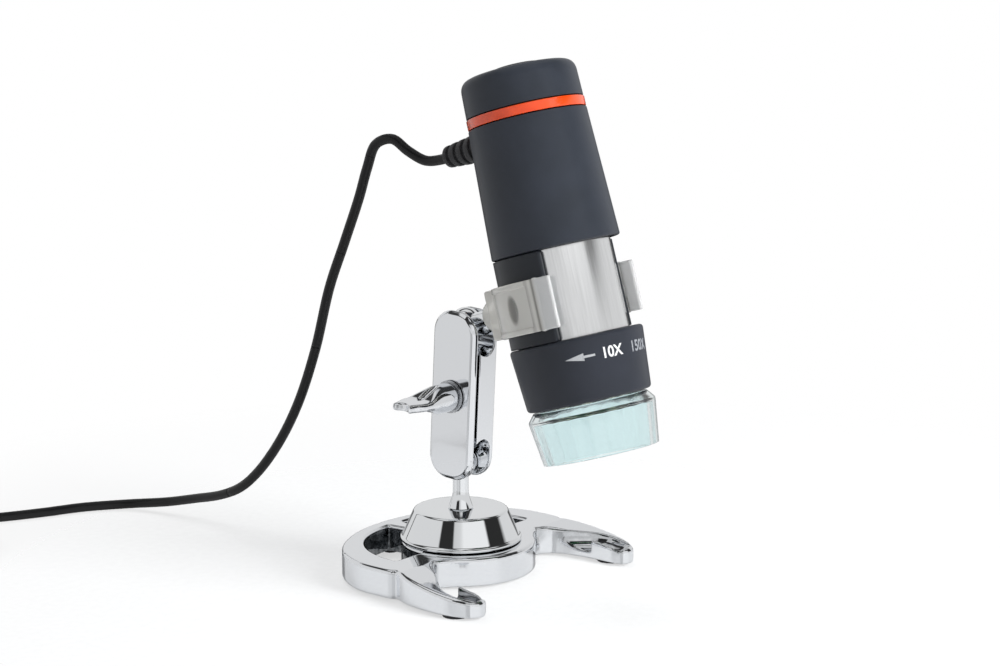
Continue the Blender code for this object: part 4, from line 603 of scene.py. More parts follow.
def make_camera():
    """The photograph's own view, from 10.4 degrees above the bench."""
    right = np.array((np.cos(CAMERA_AZIMUTH), np.sin(CAMERA_AZIMUTH), 0))
    level = np.array((np.sin(CAMERA_AZIMUTH), -np.cos(CAMERA_AZIMUTH), 0))
    ahead = -level * np.cos(CAMERA_PITCH) - np.array((0, 0, np.sin(CAMERA_PITCH)))
    up = np.cross(right, ahead)
    across = (FOOT_PIXEL[0] - PHOTO_MIDDLE[0]) / FOCAL_PIXELS * CAMERA_DEPTH
    down = (FOOT_PIXEL[1] - PHOTO_MIDDLE[1]) / FOCAL_PIXELS * CAMERA_DEPTH
    place = STEM_FOOT - (right * across - up * down + ahead * CAMERA_DEPTH)
    data = bpy.data.cameras.new("camera")
    data.sensor_width = FILM_WIDTH
    data.lens = FOCAL_PIXELS / PHOTO_WIDTH * FILM_WIDTH
    data.clip_start, data.clip_end = 0.05, 20
    camera = new_object("camera", data)
    aim(camera, right, up, -ahead, place * MM)
    bpy.context.scene.camera = camera


# Cord: its route is that of the solids, from the strain relief's tip to the coil and on to the plug.
# ROUTE is its free stretch, in millimetres from the stem's foot.

CORD_RADIUS = 1.5
ROUTE = [
    (-0.6, 12.6, 120.0), (-2.0, 18.0, 122.5), (-3.2, 23.2, 125.8), (-4.2, 28.8, 124.0), (-4.8, 31.8, 117.0),
    (-5.6, 34.5, 108.0), (-6.8, 39.5, 94.5), (-7.8, 45.0, 80.5), (-8.8, 50.5, 60.8), (-10.0, 56.8, 44.0),
    (-11.2, 64.0, 31.0), (-12.4, 72.2, 20.5), (-13.0, 80.0, 14.0), (-13.2, 89.0, 10.0), (-13.4, 101.0, 6.8),
    (-15.2, 113.0, 4.0), (-20.0, 126.0, 2.1), (-31.0, 135.0, 1.7), (-44.0, 140.0, 1.7), (-58.0, 146.2, 1.8),
]
RUN_PAST_VIEW = 27.5
COIL_TURNS = 10.25
COIL_LAYERS = 4
COIL_MID_RADIUS = 17.42
COIL_PITCH = 3.6
TIE_THICKNESS = 0.8
PLUG_HEIGHT = 8.0
RELIEF_LENGTH = 14.0
TAIL_START, TAIL_RUN = 12.0, 26.0
# Where the hanging cord is cut, in metres from the strain relief, and the two bodies that each length joins
CORD_CUTS = (0.0, 0.031, 0.062, 0.093, 0.156)
CORD_LENGTHS = (("cord_at_microscope", "microscope", "clip"), ("cord_at_clip", "clip", "stud"),
                ("cord_at_stud", "stud", "arm"), ("cord_at_arm", "arm", "post"))


def cord_route():
    """Centreline of the whole cord in millimetres from the stem's foot: free stretch, coil and tail."""
    relief_tip = shell_radius(RELIEF_STATION) + GAP + RELIEF_LENGTH + GAP
    first = TUBE_TOP - STEM_FOOT - RELIEF_STATION * TUBE_UP + TUBE_BACK * relief_tip
    last, before = np.array(ROUTE[-1]), np.array(ROUTE[-2])
    heading = (last - before) * (1, 1, 0)
    heading /= np.linalg.norm(heading)
    level = CORD_RADIUS + TIE_THICKNESS + GAP
    entry = last * (1, 1, 0) + heading * RUN_PAST_VIEW + (0, 0, level)
    lead = entry - heading * 2 * CORD_RADIUS
    end = lead - heading * GAP
    route = [first, first + TUBE_BACK * 2 * CORD_RADIUS, *ROUTE, end - heading * 4 * CORD_RADIUS, end]
    free = curve_through(route, 260)
    outer = COIL_MID_RADIUS + COIL_PITCH * COIL_TURNS / COIL_LAYERS / 2
    centre = entry + np.array((-heading[1], heading[0], 0)) * outer
    start_angle = np.arctan2(entry[1] - centre[1], entry[0] - centre[0])
    turns = np.linspace(0, COIL_TURNS, int(COIL_TURNS * 64) + 1)
    per_layer = COIL_TURNS / COIL_LAYERS
    layer = np.minimum((turns / per_layer).astype(int), COIL_LAYERS - 1)
    within = turns - layer * per_layer
    inward = np.where(layer % 2 == 0, within, per_layer - within)
    radius = outer - COIL_PITCH * inward
    climb = sum(smooth((turns - change * per_layer) * 2 + 0.5) for change in range(1, COIL_LAYERS))
    angle = start_angle + 2 * np.pi * turns
    coil = np.stack((centre[0] + radius * np.cos(angle), centre[1] + radius * np.sin(angle),
                     level + COIL_PITCH * climb), axis=1)
    away = np.array((-np.sin(angle[-1]), np.cos(angle[-1]), 0))
    share = np.linspace(0, 1, 30)[:, None]
    tail = coil[-1] + away * (TAIL_START + TAIL_RUN * share)
    tail[:, 2:] = coil[-1, 2] + (PLUG_HEIGHT / 2 - coil[-1, 2]) * smooth(share)
    tail = np.vstack((tail, tail[-1] + away * 2 * CORD_RADIUS))
    return free, np.vstack((lead[None], coil, tail))


def make_cords():
    """The hanging cord in four lengths, one for each joint that it crosses, then the rest on the bench.

    Each length is listed with the two bodies of its joint, which are not used here; the lengths stay
    unattached, in the row frame.
    """
    free, coil = (to_row(line, STAND) for line in cord_route())
    for (name, a, b), low, high in zip(CORD_LENGTHS, CORD_CUTS, CORD_CUTS[1:]):
        line = points_at(free, np.linspace(low, high, 64))
        piece = mesh_piece(name, *tube_mesh(line, CORD_RADIUS * MM), slot="rubber", finish=CABLE)
        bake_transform(piece)
    rest = points_at(free, np.linspace(CORD_CUTS[-1], distance_along(free)[-1], 150))
    line = np.vstack((rest, coil[1:]))
    piece = mesh_piece("cord_on_bench", *tube_mesh(line, CORD_RADIUS * MM, 12), "post", ("cord", "cord_coil"),
                       "rubber", CABLE)
    piece.visible_glossy = False


# Stand

BASE_TOP = 9.2
LEG_SLOPE = 0.145
# Share of painted shade in the scoops of the legs
SCOOP_PAINTED_SHADE = 0.35
WINDOW_START, WINDOW_END = 7.5, 91
WINDOW_INNER, WINDOW_OUTER, WINDOW_SWELL = 18.2, 25.6, 3.2
BASE_SIDE = [
    (0.0, 31.0), (10.2, 29.9), (19.9, 26.6), (28.3, 21.3), (34.3, 14.2), (37.8, 6.2), (38.3, -2.0),
    (37.8, -7.2), (37.1, -7.9), (37.2, -8.6), (39.0, -13.5), (40.0, -20.7), (39.8, -27.4), (38.6, -32.7),
    (36.4, -36.3), (33.8, -37.5), (31.4, -36.3), (30.2, -33.1), (30.0, -27.4), (29.6, -21.4), (28.6, -16.2),
    (26.8, -12.8), (24.4, -10.9), (22.4, -10.6), (20.2, -11.6), (17.2, -13.9), (13.5, -17.4), (9.0, -20.1),
    (4.5, -21.5), (0.0, -22.0),
]


def base_outline():
    """Half the outline from the back round a leg to the front of the disc, smoothed, then its mirror."""
    half = curve_through(BASE_SIDE, 120)
    return np.vstack((half, (half * (-1, 1))[-2:0:-1]))


def window_outline():
    """The opening beside the cone, between an inner circle and an outer ellipse.

    It runs from WINDOW_START to WINDOW_END degrees from the back.
    """
    a = np.radians(np.linspace(WINDOW_START, WINDOW_END, 36))[:, None]
    turn = np.hstack((np.sin(a), np.cos(a)))
    return np.vstack(((WINDOW_OUTER + WINDOW_SWELL * np.sin(a)) * turn, (WINDOW_INNER * turn)[::-1]))


def scoop_distance(side, y, z):
    """The hollow in the inner half of a leg's top, from a slanted edge by the disc to the tip.

    It leaves a thin rim on the inner side of the tip, and stays clear of the disc round the cone.
    """
    slanted = (side - 28.5) * 0.74 + (y + 15.5) * 0.67
    outer_wall, tip_wall, floor = side - 37.3, -35.9 - y, 3.0 - z
    inner_rim = blend_min(30.8 - side, -25.0 - y, 1.5)
    disc = 25.0 - np.hypot(side, y)
    return carve(slanted, (outer_wall, 3.0), (tip_wall, 3.0), (floor, 4.5), (inner_rim, 1.0), (disc, 0.5))


def base_field(x, y, z):
    """Walls along the outline under a lid that slopes down the legs, less two windows and two scoops."""
    side = np.abs(x)
    wall = outline_distance(OUTLINE, x, y)
    on_leg = smooth((side - 21.5) / 2.0)
    lid = z - BASE_TOP + on_leg * LEG_SLOPE * np.maximum(-y - 10, 0)
    window = outline_distance(WINDOW, side, y)
    return carve(wall, (lid, 1.3), (0.8 - z, 0.9), (0.6 - window, 1.1), (-scoop_distance(side, y, z), 0.6))


OUTLINE = base_outline()
WINDOW = window_outline()


def ball_on_stem(middle):
    """Profile of a ball from its pole down to where it meets its stem, as circle points in (r, s)."""
    a = np.linspace(np.pi / 2, np.arcsin(STEM_RADIUS / BALL_RADIUS) - np.pi / 2, 30)
    head = np.stack((BALL_RADIUS * np.cos(a), -(middle + BALL_RADIUS * np.sin(a))), axis=1)
    head[0, 0] = 0
    return head


def make_stand():
    """Base, cone cap and post; the post's foot flares by a quarter sine from the stem to a round collar.

    The base carries an attribute of painted shade: 1 on the walls of its windows, and a smaller share in its
    scoops.
    """
    base = cast("base_casting", base_field, (-42, -40, -0.4), (42, 33, 10.6), 0.36, STAND, "stand",
                ("base",), "chrome", CHROME)
    x, y, z = in_place(base, STAND)
    # Painted shade on the walls of the windows and in the scoops
    opening = outline_distance(WINDOW, np.abs(x), y)
    window_shade = smooth((1.6 - opening) / 0.8) * smooth((BASE_TOP - 0.5 - z) / 1.2)
    scoop_shade = SCOOP_PAINTED_SHADE * smooth((0.7 - scoop_distance(np.abs(x), y, z)) / 0.6)
    mark(base, "painted_shade", np.maximum(window_shade, scoop_shade))
    foot = BASE_TOP + GAP
    cone = filleted([
        (17.9, -foot, 0.2), (17.9, -foot - 0.8, 0.3), (17.3, -foot - 1.15, 0.35),
        (13.8, -CONE_TOP + 0.15, 0.7), (12.6, -CONE_TOP, 0.3), (3.2, -CONE_TOP, 0.2), (3.2, -CONE_TOP + 1.5),
        (12.2, -CONE_TOP + 1.5, 0.3), (15.8, -foot, 0.2),
    ])
    lathe("cone_cap_plated", cone, STAND, "stand", ("cone_cap",), "chrome", TURNED, 180)
    t = np.linspace(1, 0, 14)
    flare_foot = CONE_TOP + GAP
    flare = np.stack((STEM_RADIUS + 1.4 * (1 - np.sin(np.pi / 2 * t)), -(flare_foot + 5.5 * t)), axis=1)
    spigot = [(3.7, -flare_foot), (2.7, -flare_foot), (2.7, -5.3), (0, -5.3)]
    post = np.vstack((ball_on_stem(LOWER_BALL[2]), flare, spigot))
    lathe("post_plated", post, STAND, "post", ("post",), "chrome", TURNED, 96, closed=False)


def in_place(piece, place):
    """The piece's points in millimetres along the three axes of a place."""
    points = np.empty(len(piece.data.vertices) * 3)
    piece.data.vertices.foreach_get("co", points)
    away = points.reshape(-1, 3) / MM - place[0]
    return away @ place[1], away @ place[2], away @ place[3]


def mark(piece, name, value):
    """A number on each point, for the piece's material to read."""
    piece.data.attributes.new(name, "FLOAT", "POINT").data.foreach_set("value", value.astype(np.float32))


# Arm

JAW_FACE = 5.65
JAW_HALF_WIDTH, JAW_HALF_LENGTH, JAW_CORNER = 8.1, 25.0, 6.8
JAW_CHAMFER = 1.15
JAW_MIDDLE = BALL_SPAN / 2
NEAR_INNER = -3.8
FAR_INNER = -2.6
SPRING_FLOOR = 1.6
SEAT_RADIUS = BALL_RADIUS + GAP
BORE_RADIUS = 2.3
SLOT_HALF_WIDTH, SLOT_PAST_BALL = 3.5, 5.0
SPRING_POCKET_RADIUS = 4.2
NUT_HALF_FLATS, NUT_DEPTH = 3.8, 2.9
HUB_RADIUS, WING_LENGTH = 4.2, 20.5


def jaw_blank(side, inner, x, y, z):
    """A round-cornered plate from its parting face to a chamfered outer face, with the screw's bore."""
    rim = box_distance(y, z - JAW_MIDDLE, JAW_HALF_WIDTH, JAW_HALF_LENGTH, JAW_CORNER)
    face = side * x - JAW_FACE
    screw = np.hypot(y, z - JAW_MIDDLE)
    plate = carve(rim, (face, 0.3), ((rim + face + JAW_CHAMFER) / np.sqrt(2), 0.35),
                  (side * (inner - x), 0.25), (BORE_RADIUS - screw, 0.2))
    return plate, screw


def near_jaw_field(x, y, z):
    """The thin cover: its blank less a round seat for each ball."""
    plate, _ = jaw_blank(-1, NEAR_INNER, x, y, z)
    for ball in (0.0, BALL_SPAN):
        plate = blend_max(plate, SEAT_RADIUS - np.sqrt(x * x + y * y + (z - ball) ** 2), 0.2)
    return plate


def far_jaw_field(x, y, z):
    """The thick body: its blank less two round pockets, two slots, the spring's pocket and a hexagon."""
    plate, screw = jaw_blank(1, FAR_INNER, x, y, z)
    for ball, away in ((0.0, -1), (BALL_SPAN, 1)):
        pocket = SEAT_RADIUS - np.sqrt(np.maximum(x, 0) ** 2 + y * y + (z - ball) ** 2)
        plate = blend_max(plate, pocket, 0.3)
        past = (z - ball) * away + SLOT_PAST_BALL
        slot = SLOT_HALF_WIDTH - np.where(past > 0, np.abs(x), np.hypot(x, past))
        plate = blend_max(plate, slot, 0.4)
    high = z - JAW_MIDDLE
    flats = np.maximum(np.abs(high), np.abs(y) * np.cos(np.pi / 6) + np.abs(high) * np.sin(np.pi / 6))
    spring_pocket = np.minimum(SPRING_POCKET_RADIUS - screw, SPRING_FLOOR - x)
    nut_seat = np.minimum(NUT_HALF_FLATS - flats, x - JAW_FACE + NUT_DEPTH)
    return carve(plate, (spring_pocket, 0.2), (nut_seat, 0.2))


def ellipsoid(u, v, w):
    """Below 0 inside the unit ball of its three scaled directions."""
    return np.sqrt(u ** 2 + v ** 2 + w ** 2) - 1


def wing_field(a, y, z):
    """Distance out from the washer is a: a round hub whose section widens and thins into a blunt paddle.

    The end is hollowed between two lobes, and a long slot follows each face of the paddle from the hub.
    """
    flat = smooth((a - 4.6) / 9.0)
    width = HUB_RADIUS + 0.6 * smooth((a - 5.0) / 7.0) - 1.5 * smooth((a - 14.0) / 6.0)
    thick = HUB_RADIUS - 3.0 * flat
    section = box_distance(y, z, width, thick, np.minimum(HUB_RADIUS - 3.2 * flat, thick))
    end = a - WING_LENGTH + 1.6 * (1 - np.minimum((y / 3.0) ** 2, 1.0))
    slot = ellipsoid((a - 9.0) / 4.2, y / 1.2, (np.abs(z) - thick - 0.1) / 1.1)
    return carve(section, (end, 0.9), (0.05 - a, 0.8), (-slot, 0.25))


def make_arm():
    """Both jaws, the wing screw with its shaft and the spring, a helix of 3.5 turns round the shaft."""
    cast("near_jaw_plated", near_jaw_field, (-6.2, -8.7, -4.8), (-3.3, 8.7, 46.8), 0.26, ARM, "near_jaw",
         ("near_jaw",), "chrome", CHROME)
    cast("far_jaw_plated", far_jaw_field, (-3.1, -8.7, -4.8), (6.2, 8.7, 46.8), 0.26, ARM, "arm",
         ("far_jaw",), "chrome", CHROME)
    cast("wing_screw_plated", wing_field, (-0.4, -6.2, -5.0), (21.4, 6.2, 5.0), 0.22, WING, "wing",
         ("wing_screw",), "chrome", CHROME)
    shaft = filleted([(0, 0.6), (1.95, 0.6), (1.95, 12.1, 0.3), (0, 12.1)], closed=False)
    place = (WING[0], ARM_BACK, -ARM_UP, WING[1])
    lathe("wing_screw_shaft", shaft, place, "wing", (), "chrome", STEEL, 40, closed=False)
    wire, wire_circle, turns = 0.3, 3.1, 3.5
    t = np.linspace(0, 1, 240)
    first, last = NEAR_INNER + GAP + wire, SPRING_FLOOR - GAP - wire
    angle = 2 * np.pi * turns * t
    spring = np.stack((first + (last - first) * t, wire_circle * np.cos(angle),
                       JAW_MIDDLE + wire_circle * np.sin(angle)), axis=1)
    mesh_piece("jaw_spring_wire", *tube_mesh(to_row(spring, ARM), wire * MM, 10), "arm", ("jaw_spring",),
               "steel", STEEL)


# Clip

CLIP_BORE = 18.5
CLIP_OUTER = 20.2
CLIP_HALF_HEIGHT = 7.15
CLIP_MIDDLE, CLIP_HALF_WALL = (CLIP_BORE + CLIP_OUTER) / 2, (CLIP_OUTER - CLIP_BORE) / 2
LIP_START, LIP_END = np.radians(107), np.radians(118.5)
LIP_END_RADIUS, LIP_HALF_WALL = 21.15, 0.7
BACK_MIDDLE, BACK_HALF_WIDTH, BACK_HALF_DEPTH = 19.9, 9.0, 2.1
BOSS_RADIUS, BOSS_START, BOSS_END, BOSS_TAPER = 7.0, 22.3, 28.7, 0.4576
STUD_HOLE_FLOOR = 22.7
PANEL_ANGLE, PANEL_HALF_LENGTH, PANEL_HALF_HEIGHT, PANEL_DEPTH = 67, 10.4, 5.55, 0.5
POCKET_ANGLE = 79
# Share of painted shade along the ends of the clip's panels
PANEL_RIM_PAINTED_SHADE = 0.35


def clip_field(x, y, z):
    """A ring open at the front with flared lips, a square back, a cone to the stud and two panels."""
    side = np.abs(x)
    r = np.hypot(x, y)
    from_axis = np.hypot(x, z)
    high = np.abs(z) - CLIP_HALF_HEIGHT
    past = side * np.cos(LIP_START) - y * np.sin(LIP_START)
    ring = carve(np.abs(r - CLIP_MIDDLE) - CLIP_HALF_WALL, (high, 0.5), (past, 0.5))
    start_x, start_y = CLIP_MIDDLE * np.sin(LIP_START), CLIP_MIDDLE * np.cos(LIP_START)
    reach_x = LIP_END_RADIUS * np.sin(LIP_END) - start_x
    reach_y = LIP_END_RADIUS * np.cos(LIP_END) - start_y
    t = ((side - start_x) * reach_x + (y - start_y) * reach_y) / (reach_x ** 2 + reach_y ** 2)
    t = np.clip(t, 0, 1)
    flare = np.hypot(side - start_x - t * reach_x, y - start_y - t * reach_y) - LIP_HALF_WALL
    shape = blend_min(ring, blend_max(flare, high, 0.5), 0.9)
    back = box_distance(x, y - BACK_MIDDLE, BACK_HALF_WIDTH, BACK_HALF_DEPTH, 0.6)
    shape = blend_min(shape, blend_max(back, high, 0.9), 0.8)
    cone = (from_axis - BOSS_RADIUS + BOSS_TAPER * np.maximum(y - BOSS_START, 0)) * 0.909
    cone = np.maximum(blend_max(cone, y - BOSS_END, 0.7), 19.5 - y)
    shape = blend_min(shape, cone, 0.6)
    hole = np.maximum(from_axis - STEM_RADIUS - GAP, STUD_HOLE_FLOOR - y)
    angle = np.arctan2(side, y)
    along = np.abs(angle - np.radians(PANEL_ANGLE)) * CLIP_MIDDLE
    panel = np.maximum(along - PANEL_HALF_LENGTH, np.abs(z) - PANEL_HALF_HEIGHT)
    panel = np.maximum(panel, CLIP_OUTER - PANEL_DEPTH - r)
    across = (angle - np.radians(POCKET_ANGLE)) * CLIP_MIDDLE
    pocket = ellipsoid(across / 1.9, z / 3.9, (r - CLIP_OUTER + 0.3) / 0.75)
    return carve(shape, (CLIP_BORE - r, 0.3), (-hole, 0.3), (-panel, 0.45), (-pocket, 0.3))


def make_clip():
    """The clip and the ball stud in its cone.

    The clip's polish attribute is 1 on the lips. Its attribute of painted shade is 1 in the pockets and along
    the root of the lips, and a smaller share along the ends of the panels.
    """
    clip = cast("snap_clip", clip_field, (-20.9, -11.7, -7.8), (20.9, 29.4, 7.8), 0.3, CLIP, "clip",
                ("clip",), "clip_plastic", FROSTED)
    x, y, z = in_place(clip, CLIP)
    angle = np.degrees(np.arctan2(np.abs(x), y))
    past = angle - np.degrees(LIP_START)
    mark(clip, "polish", smooth((past + 1.5) / 2.0))
    # Painted shade: darker in the pockets, along the root of the lips and at the ends of the panels
    pocket = smooth(2.6 - 2.4 * np.sqrt(((angle - POCKET_ANGLE) / 6.5) ** 2 + (z / 4.4) ** 2))
    root = np.exp(-(((past + 3.0) / 1.1) ** 2))
    along = np.abs(angle - PANEL_ANGLE)
    rim = smooth(along - 29.5) * smooth(33.5 - along)
    mark(clip, "painted_shade_share", np.maximum(np.maximum(pocket, root), PANEL_RIM_PAINTED_SHADE * rim))
    stud = np.vstack((ball_on_stem(0) * (1, -1), [(2.3, -15.4), (2.0, -15.7), (0, -15.7)])) * (1, -1)
    lathe("clip_stud_plated", stud, STUD, "stud", ("clip_stud",), "chrome", TURNED, 96, closed=False)


# Microscope

HOUSING_PIECES = (
    ("top_cap_shell", "top_cap", "housing", HOUSING, [
        (7.4, 0.15, 0.15), (16.3, 0.95, 3.3), (16.6, CAP_FOOT, 0.25), (14.9, CAP_FOOT), (14.6, 2.6, 1.0),
        (7.4, 2.6),
    ]),
    ("accent_band", "accent_ring", "accent", ORANGE, [
        (12.5, RING_TOP), (16.75, RING_TOP, 0.25), (16.75, RING_FOOT, 0.25), (12.5, RING_FOOT),
    ]),
    ("upper_body_shell", "upper_shell", "housing", HOUSING, [
        (15.3, SHELL_TOP), (16.8, SHELL_TOP, 0.25), (18.18, SHELL_FOOT - 0.3, 0.9), (17.6, SHELL_FOOT, 0.3),
        (16.7, SHELL_FOOT, 0.1),
    ]),
    ("lower_cup_shell", "lower_cup", "housing", CUP_PAINT, [
        (16.4, CUP_TOP, 0.2), (CUP_TOP_RADIUS, CUP_TOP + 0.05, 1.6), (CUP_FOOT_RADIUS, CUP_FOOT, 2.9),
        (15.1, CUP_FOOT, 0.2), (15.1, CUP_FOOT - 3.5), (15.83, CUP_FOOT - 3.5),
    ]),
)


def make_housing():
    """The turned pieces of the tube by their profiles, and the open neck that the wheel turns in."""
    for name, node, slot, finish, corners in HOUSING_PIECES:
        lathe(name, filleted(corners), TUBE, "microscope", (node,), slot, finish)
    cast("neck_frame", neck_field, (-18.7, -18.7, -89.4), (18.7, 18.7, -34.3), 0.42, TUBE, "microscope",
         ("neck_shell",), "housing", NECK_ABS)
    wheel = filleted([
        (WHEEL_BORE, WHEEL_TOP), (WHEEL_RADIUS, WHEEL_TOP, 0.3), (WHEEL_RADIUS, WHEEL_FOOT, 0.3),
        (WHEEL_BORE, WHEEL_FOOT),
    ])
    lathe("focus_wheel_tube", wheel, TUBE, "focus", ("focus_wheel",), "wheel", SATIN, 160)
    button = filleted([
        (0, -0.4), (7.1, -0.4, 0.7), (7.1, 2.9), (8.4, 2.9), (8.4, 3.8), (1.6, 3.8), (1.6, 7.5), (0, 7.5),
    ], closed=False)
    lathe("snapshot_button_cap", button, TUBE, "button", ("snapshot_button",), "housing", NECK_ABS, 96,
          closed=False)
    make_relief()


def make_relief():
    """The cord's boot, a cone of five soft ribs whose foot is held behind the shell's wall."""
    ribs = 5
    pitch = RELIEF_LENGTH / (ribs - 0.5)
    face = shell_radius(RELIEF_STATION) + GAP
    held = face - 3.3
    boot = [(0, held), (3.8, held, 0.3), (3.8, held + 1.2), (2.9, held + 1.2), (2.9, face)]
    for i in range(ribs):
        low = face + pitch * i
        high = min(low + pitch * 0.62, face + RELIEF_LENGTH)
        outer = 4.35 - 1.2 * (low - face) / RELIEF_LENGTH
        boot += [(outer, low, 0.45), (outer - 0.15, high, 0.45)]
        if i < ribs - 1:
            boot += [(outer - 1.0, low + pitch * 0.66, 0.15), (outer - 1.05, low + pitch * 0.96, 0.15)]
    boot += [(0, face + RELIEF_LENGTH)]
    boot = filleted(boot, closed=False) * (1, -1)
    lathe("strain_relief_boot", boot, RELIEF, "microscope", ("strain_relief",), "rubber", RUBBER, 72,
          closed=False)


# Rings of the neck: inner and outer radius, first and last distance from the tube's top
NECK_RINGS = ((14.4, 15.47, 34.8, 47.5), (14.4, 16.25, 47.4, 50.9), (15.6, 16.25, 50.8, 51.8),
              (15.6, None, 51.65, 76.62), (15.6, 16.05, 76.3, 77.3), (14.6, 16.05, 77.2, 88.9))
NECK_RADIUS = 18.0
WINDOW_HALF_SWEEP = np.radians(66)
WINDOW_STATION, WINDOW_HALF_LENGTH = 64.05, 13.15


def neck_field(x, y, z):
    """The tube between shell and cup, open at the front over the wheel, with a stepped collar into each.

    It is the union of rings, each a rectangle in (r, s), less the window. The ring without an outer radius
    is the one that shows, which widens towards the cup.
    """
    s = -z
    r = np.hypot(x, y)
    seen = NECK_RADIUS + 0.3 * (s - 51.7) / 24.7
    tube = np.inf
    for inner, outer, first, last in NECK_RINGS:
        wall = np.maximum(r - (outer or seen), inner - r)
        tube = np.minimum(tube, blend_max(wall, np.maximum(first - s, s - last), 0.2))
    window = np.abs(x) * np.cos(WINDOW_HALF_SWEEP) + y * np.sin(WINDOW_HALF_SWEEP)
    window = np.maximum(np.where(y < 0, window, 1.0), np.abs(s - WINDOW_STATION) - WINDOW_HALF_LENGTH)
    return blend_max(tube, -window, 0.6)


def nose_middle(s):
    """Radius half way through the nose's wall, which tells its inner from its outer surface."""
    return np.interp(s, [90.7, 94.8, 97.2, NOSE_SHOULDER, NOSE_TIP], [14.2, 14.3, 16.95, 17.3, 15.7])


NOSE_FLATS = 22
FLATS_START = 97.4


def nose_wave(a, r, s):
    """The inner wall is a ring of NOSE_FLATS flats, so its radius falls to cos(pi / NOSE_FLATS) of itself
    in the middle of each, over nine tenths of the way.
    """
    half = np.pi / NOSE_FLATS
    flat = np.cos(half) / np.cos(a % (2 * half) - half)
    within = smooth((s - FLATS_START) / 1.6)
    return r * np.where(r < nose_middle(s), 1 - (1 - flat) * within * 0.9, 1.0)


def make_nose():
    """The clear cap round the lens, hidden from the mirrors as the photograph's mirrors don't show it."""
    nose = filleted([
        (13.6, 90.7, 0.2), (14.8, 90.7, 0.2), (14.8, 94.8, 0.1), (16.0, 94.8, 0.3), (17.9, 97.2, 0.3),
        (17.9, NOSE_SHOULDER, 0.4), (16.3, NOSE_TIP, 0.35), (15.1, NOSE_TIP, 0.3), (16.7, NOSE_SHOULDER, 0.5),
        (13.6, 94.8, 0.4),
    ])
    cap = lathe("nose_cap_clear", nose, TUBE, "microscope", ("nose_cap",), "clear_nose", CLEAR, 176,
                wave=nose_wave)
    cap.visible_glossy = False


CAD_PIECES = (
    (RUBBER, ("front_pad_near", "front_pad_far", "rear_pad", "usb_plug", "cord_tie")),
    (STEEL, ("post_screw", "clamp_washer", "clamp_nut", "plug_shell",
             "board_screw_1", "board_screw_2", "board_screw_3")),
    (NYLON, ("plug_tongue",)),
    (BOARD, ("led_board", "sensor_board", "button_board")),
    (CHIP, ("image_sensor", "video_chip", "button_switch", "lens_carrier")),
    (LED, tuple(f"led_{i + 1}" for i in range(8))),
    (GLASS, ("objective_lens",)),
)


def dress_cad_pieces():
    """The pieces that keep their CAD shape get their materials, and the mirrors don't show the plug."""
    for finish, names in CAD_PIECES:
        for name in names:
            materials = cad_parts[name].data.materials
            materials.clear()
            materials.append(finish)
    for name in ("usb_plug", "plug_shell", "plug_tongue", "cord_tie"):
        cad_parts[name].visible_glossy = False


MARK_STATION = 82.2
MARK_HEIGHT = 3.1
PRINT_HEIGHT = 0.05
PRINT_BEND_RADIUS = 18.5
ARROW_STEPS = 60
ARROW_ANGLE = -51.0
# Name, words, angle from the front in degrees, width in mm and ink
WORDS = (("mark_low", "10X", -21.0, 6.0, INK), ("mark_high", "150X", 12.5, 8.0, WORN_INK))


def wrap_on_cup(name, flat_points, faces, middle_angle, ink):
    """Flat print at (u, v) millimetres laid on the cup: u runs round it, v up it, just above the paint."""
    u, v = flat_points[:, 0], flat_points[:, 1]
    s = MARK_STATION - v
    slope = (CUP_TOP_RADIUS - CUP_FOOT_RADIUS) / (CUP_FOOT - CUP_TOP)
    r = CUP_TOP_RADIUS - slope * (s - CUP_TOP) + PRINT_HEIGHT
    a = np.radians(middle_angle) + u / PRINT_BEND_RADIUS
    points = np.stack((r * np.sin(a), -r * np.cos(a), -s), axis=1)
    mesh_piece(name, to_row(points, TUBE), faces, "microscope", (), "housing", ink)


def make_marks():
    """A plain arrow and the two ends of the focusing scale."""
    top = resample(np.array([(-4.2, 0), (1.1, 1.05), (0.4, 0.34), (4.2, 0.3)]), ARROW_STEPS)
    fine = np.vstack((top, top * (1, -1)))
    faces = [(i, i + 1, i + ARROW_STEPS + 1, i + ARROW_STEPS) for i in range(ARROW_STEPS - 1)]
    wrap_on_cup("mark_arrow", fine, faces, ARROW_ANGLE, ARROW_INK)
    for name, words, angle, width, ink in WORDS:
        text = bpy.data.curves.new(name, "FONT")
        text.body = words
        text.size = 3.6
        text.align_x = "CENTER"
        text.align_y = "CENTER"
        text.offset = 0.09
        holder = new_object(name + "_flat", text)
        bpy.context.view_layer.update()
        flat = bpy.data.meshes.new_from_object(holder.evaluated_get(bpy.context.evaluated_depsgraph_get()))
        points = np.array([v.co[:2] for v in flat.vertices])
        faces = [tuple(f.vertices) for f in flat.polygons]
        bpy.data.objects.remove(holder)
        low, high = points.min(axis=0), points.max(axis=0)
        points = (points - (low + high) / 2) * (width, MARK_HEIGHT) / (high - low)
        wrap_on_cup(name, points, faces, angle, ink)


# Studio

TO_CAMERA, TO_RIGHT = (-0.766, -0.643, 0.0), (0.643, -0.766, 0.0)
# The room that only mirrors show: (degrees from the camera's side, grey), for level and for rising rays
LEVEL_ROOM = (
    (-180, 0.05), (-154, 0.05), (-148, 0.78), (-66, 0.8), (-56, 0.5), (-24, 0.62), (-18, 0.3), (-8, 0.28),
    (-2, 0.95), (58, 0.95), (72, 0.78), (146, 0.8), (152, 0.06), (180, 0.05),
)
RISING_ROOM = (
    (-180, 0.8), (-48, 0.8), (-45, 0.03), (-17, 0.03), (-14, 0.7), (0, 0.8), (8, 1.0), (60, 1.0), (64, 0.03),
    (112, 0.03), (118, 0.7), (180, 0.8),
)
# A dark band overhead: (the ray's rise, share)
OVERHEAD = ((0.6, 0.0), (0.66, 1.0), (0.78, 1.0), (0.84, 0.0))
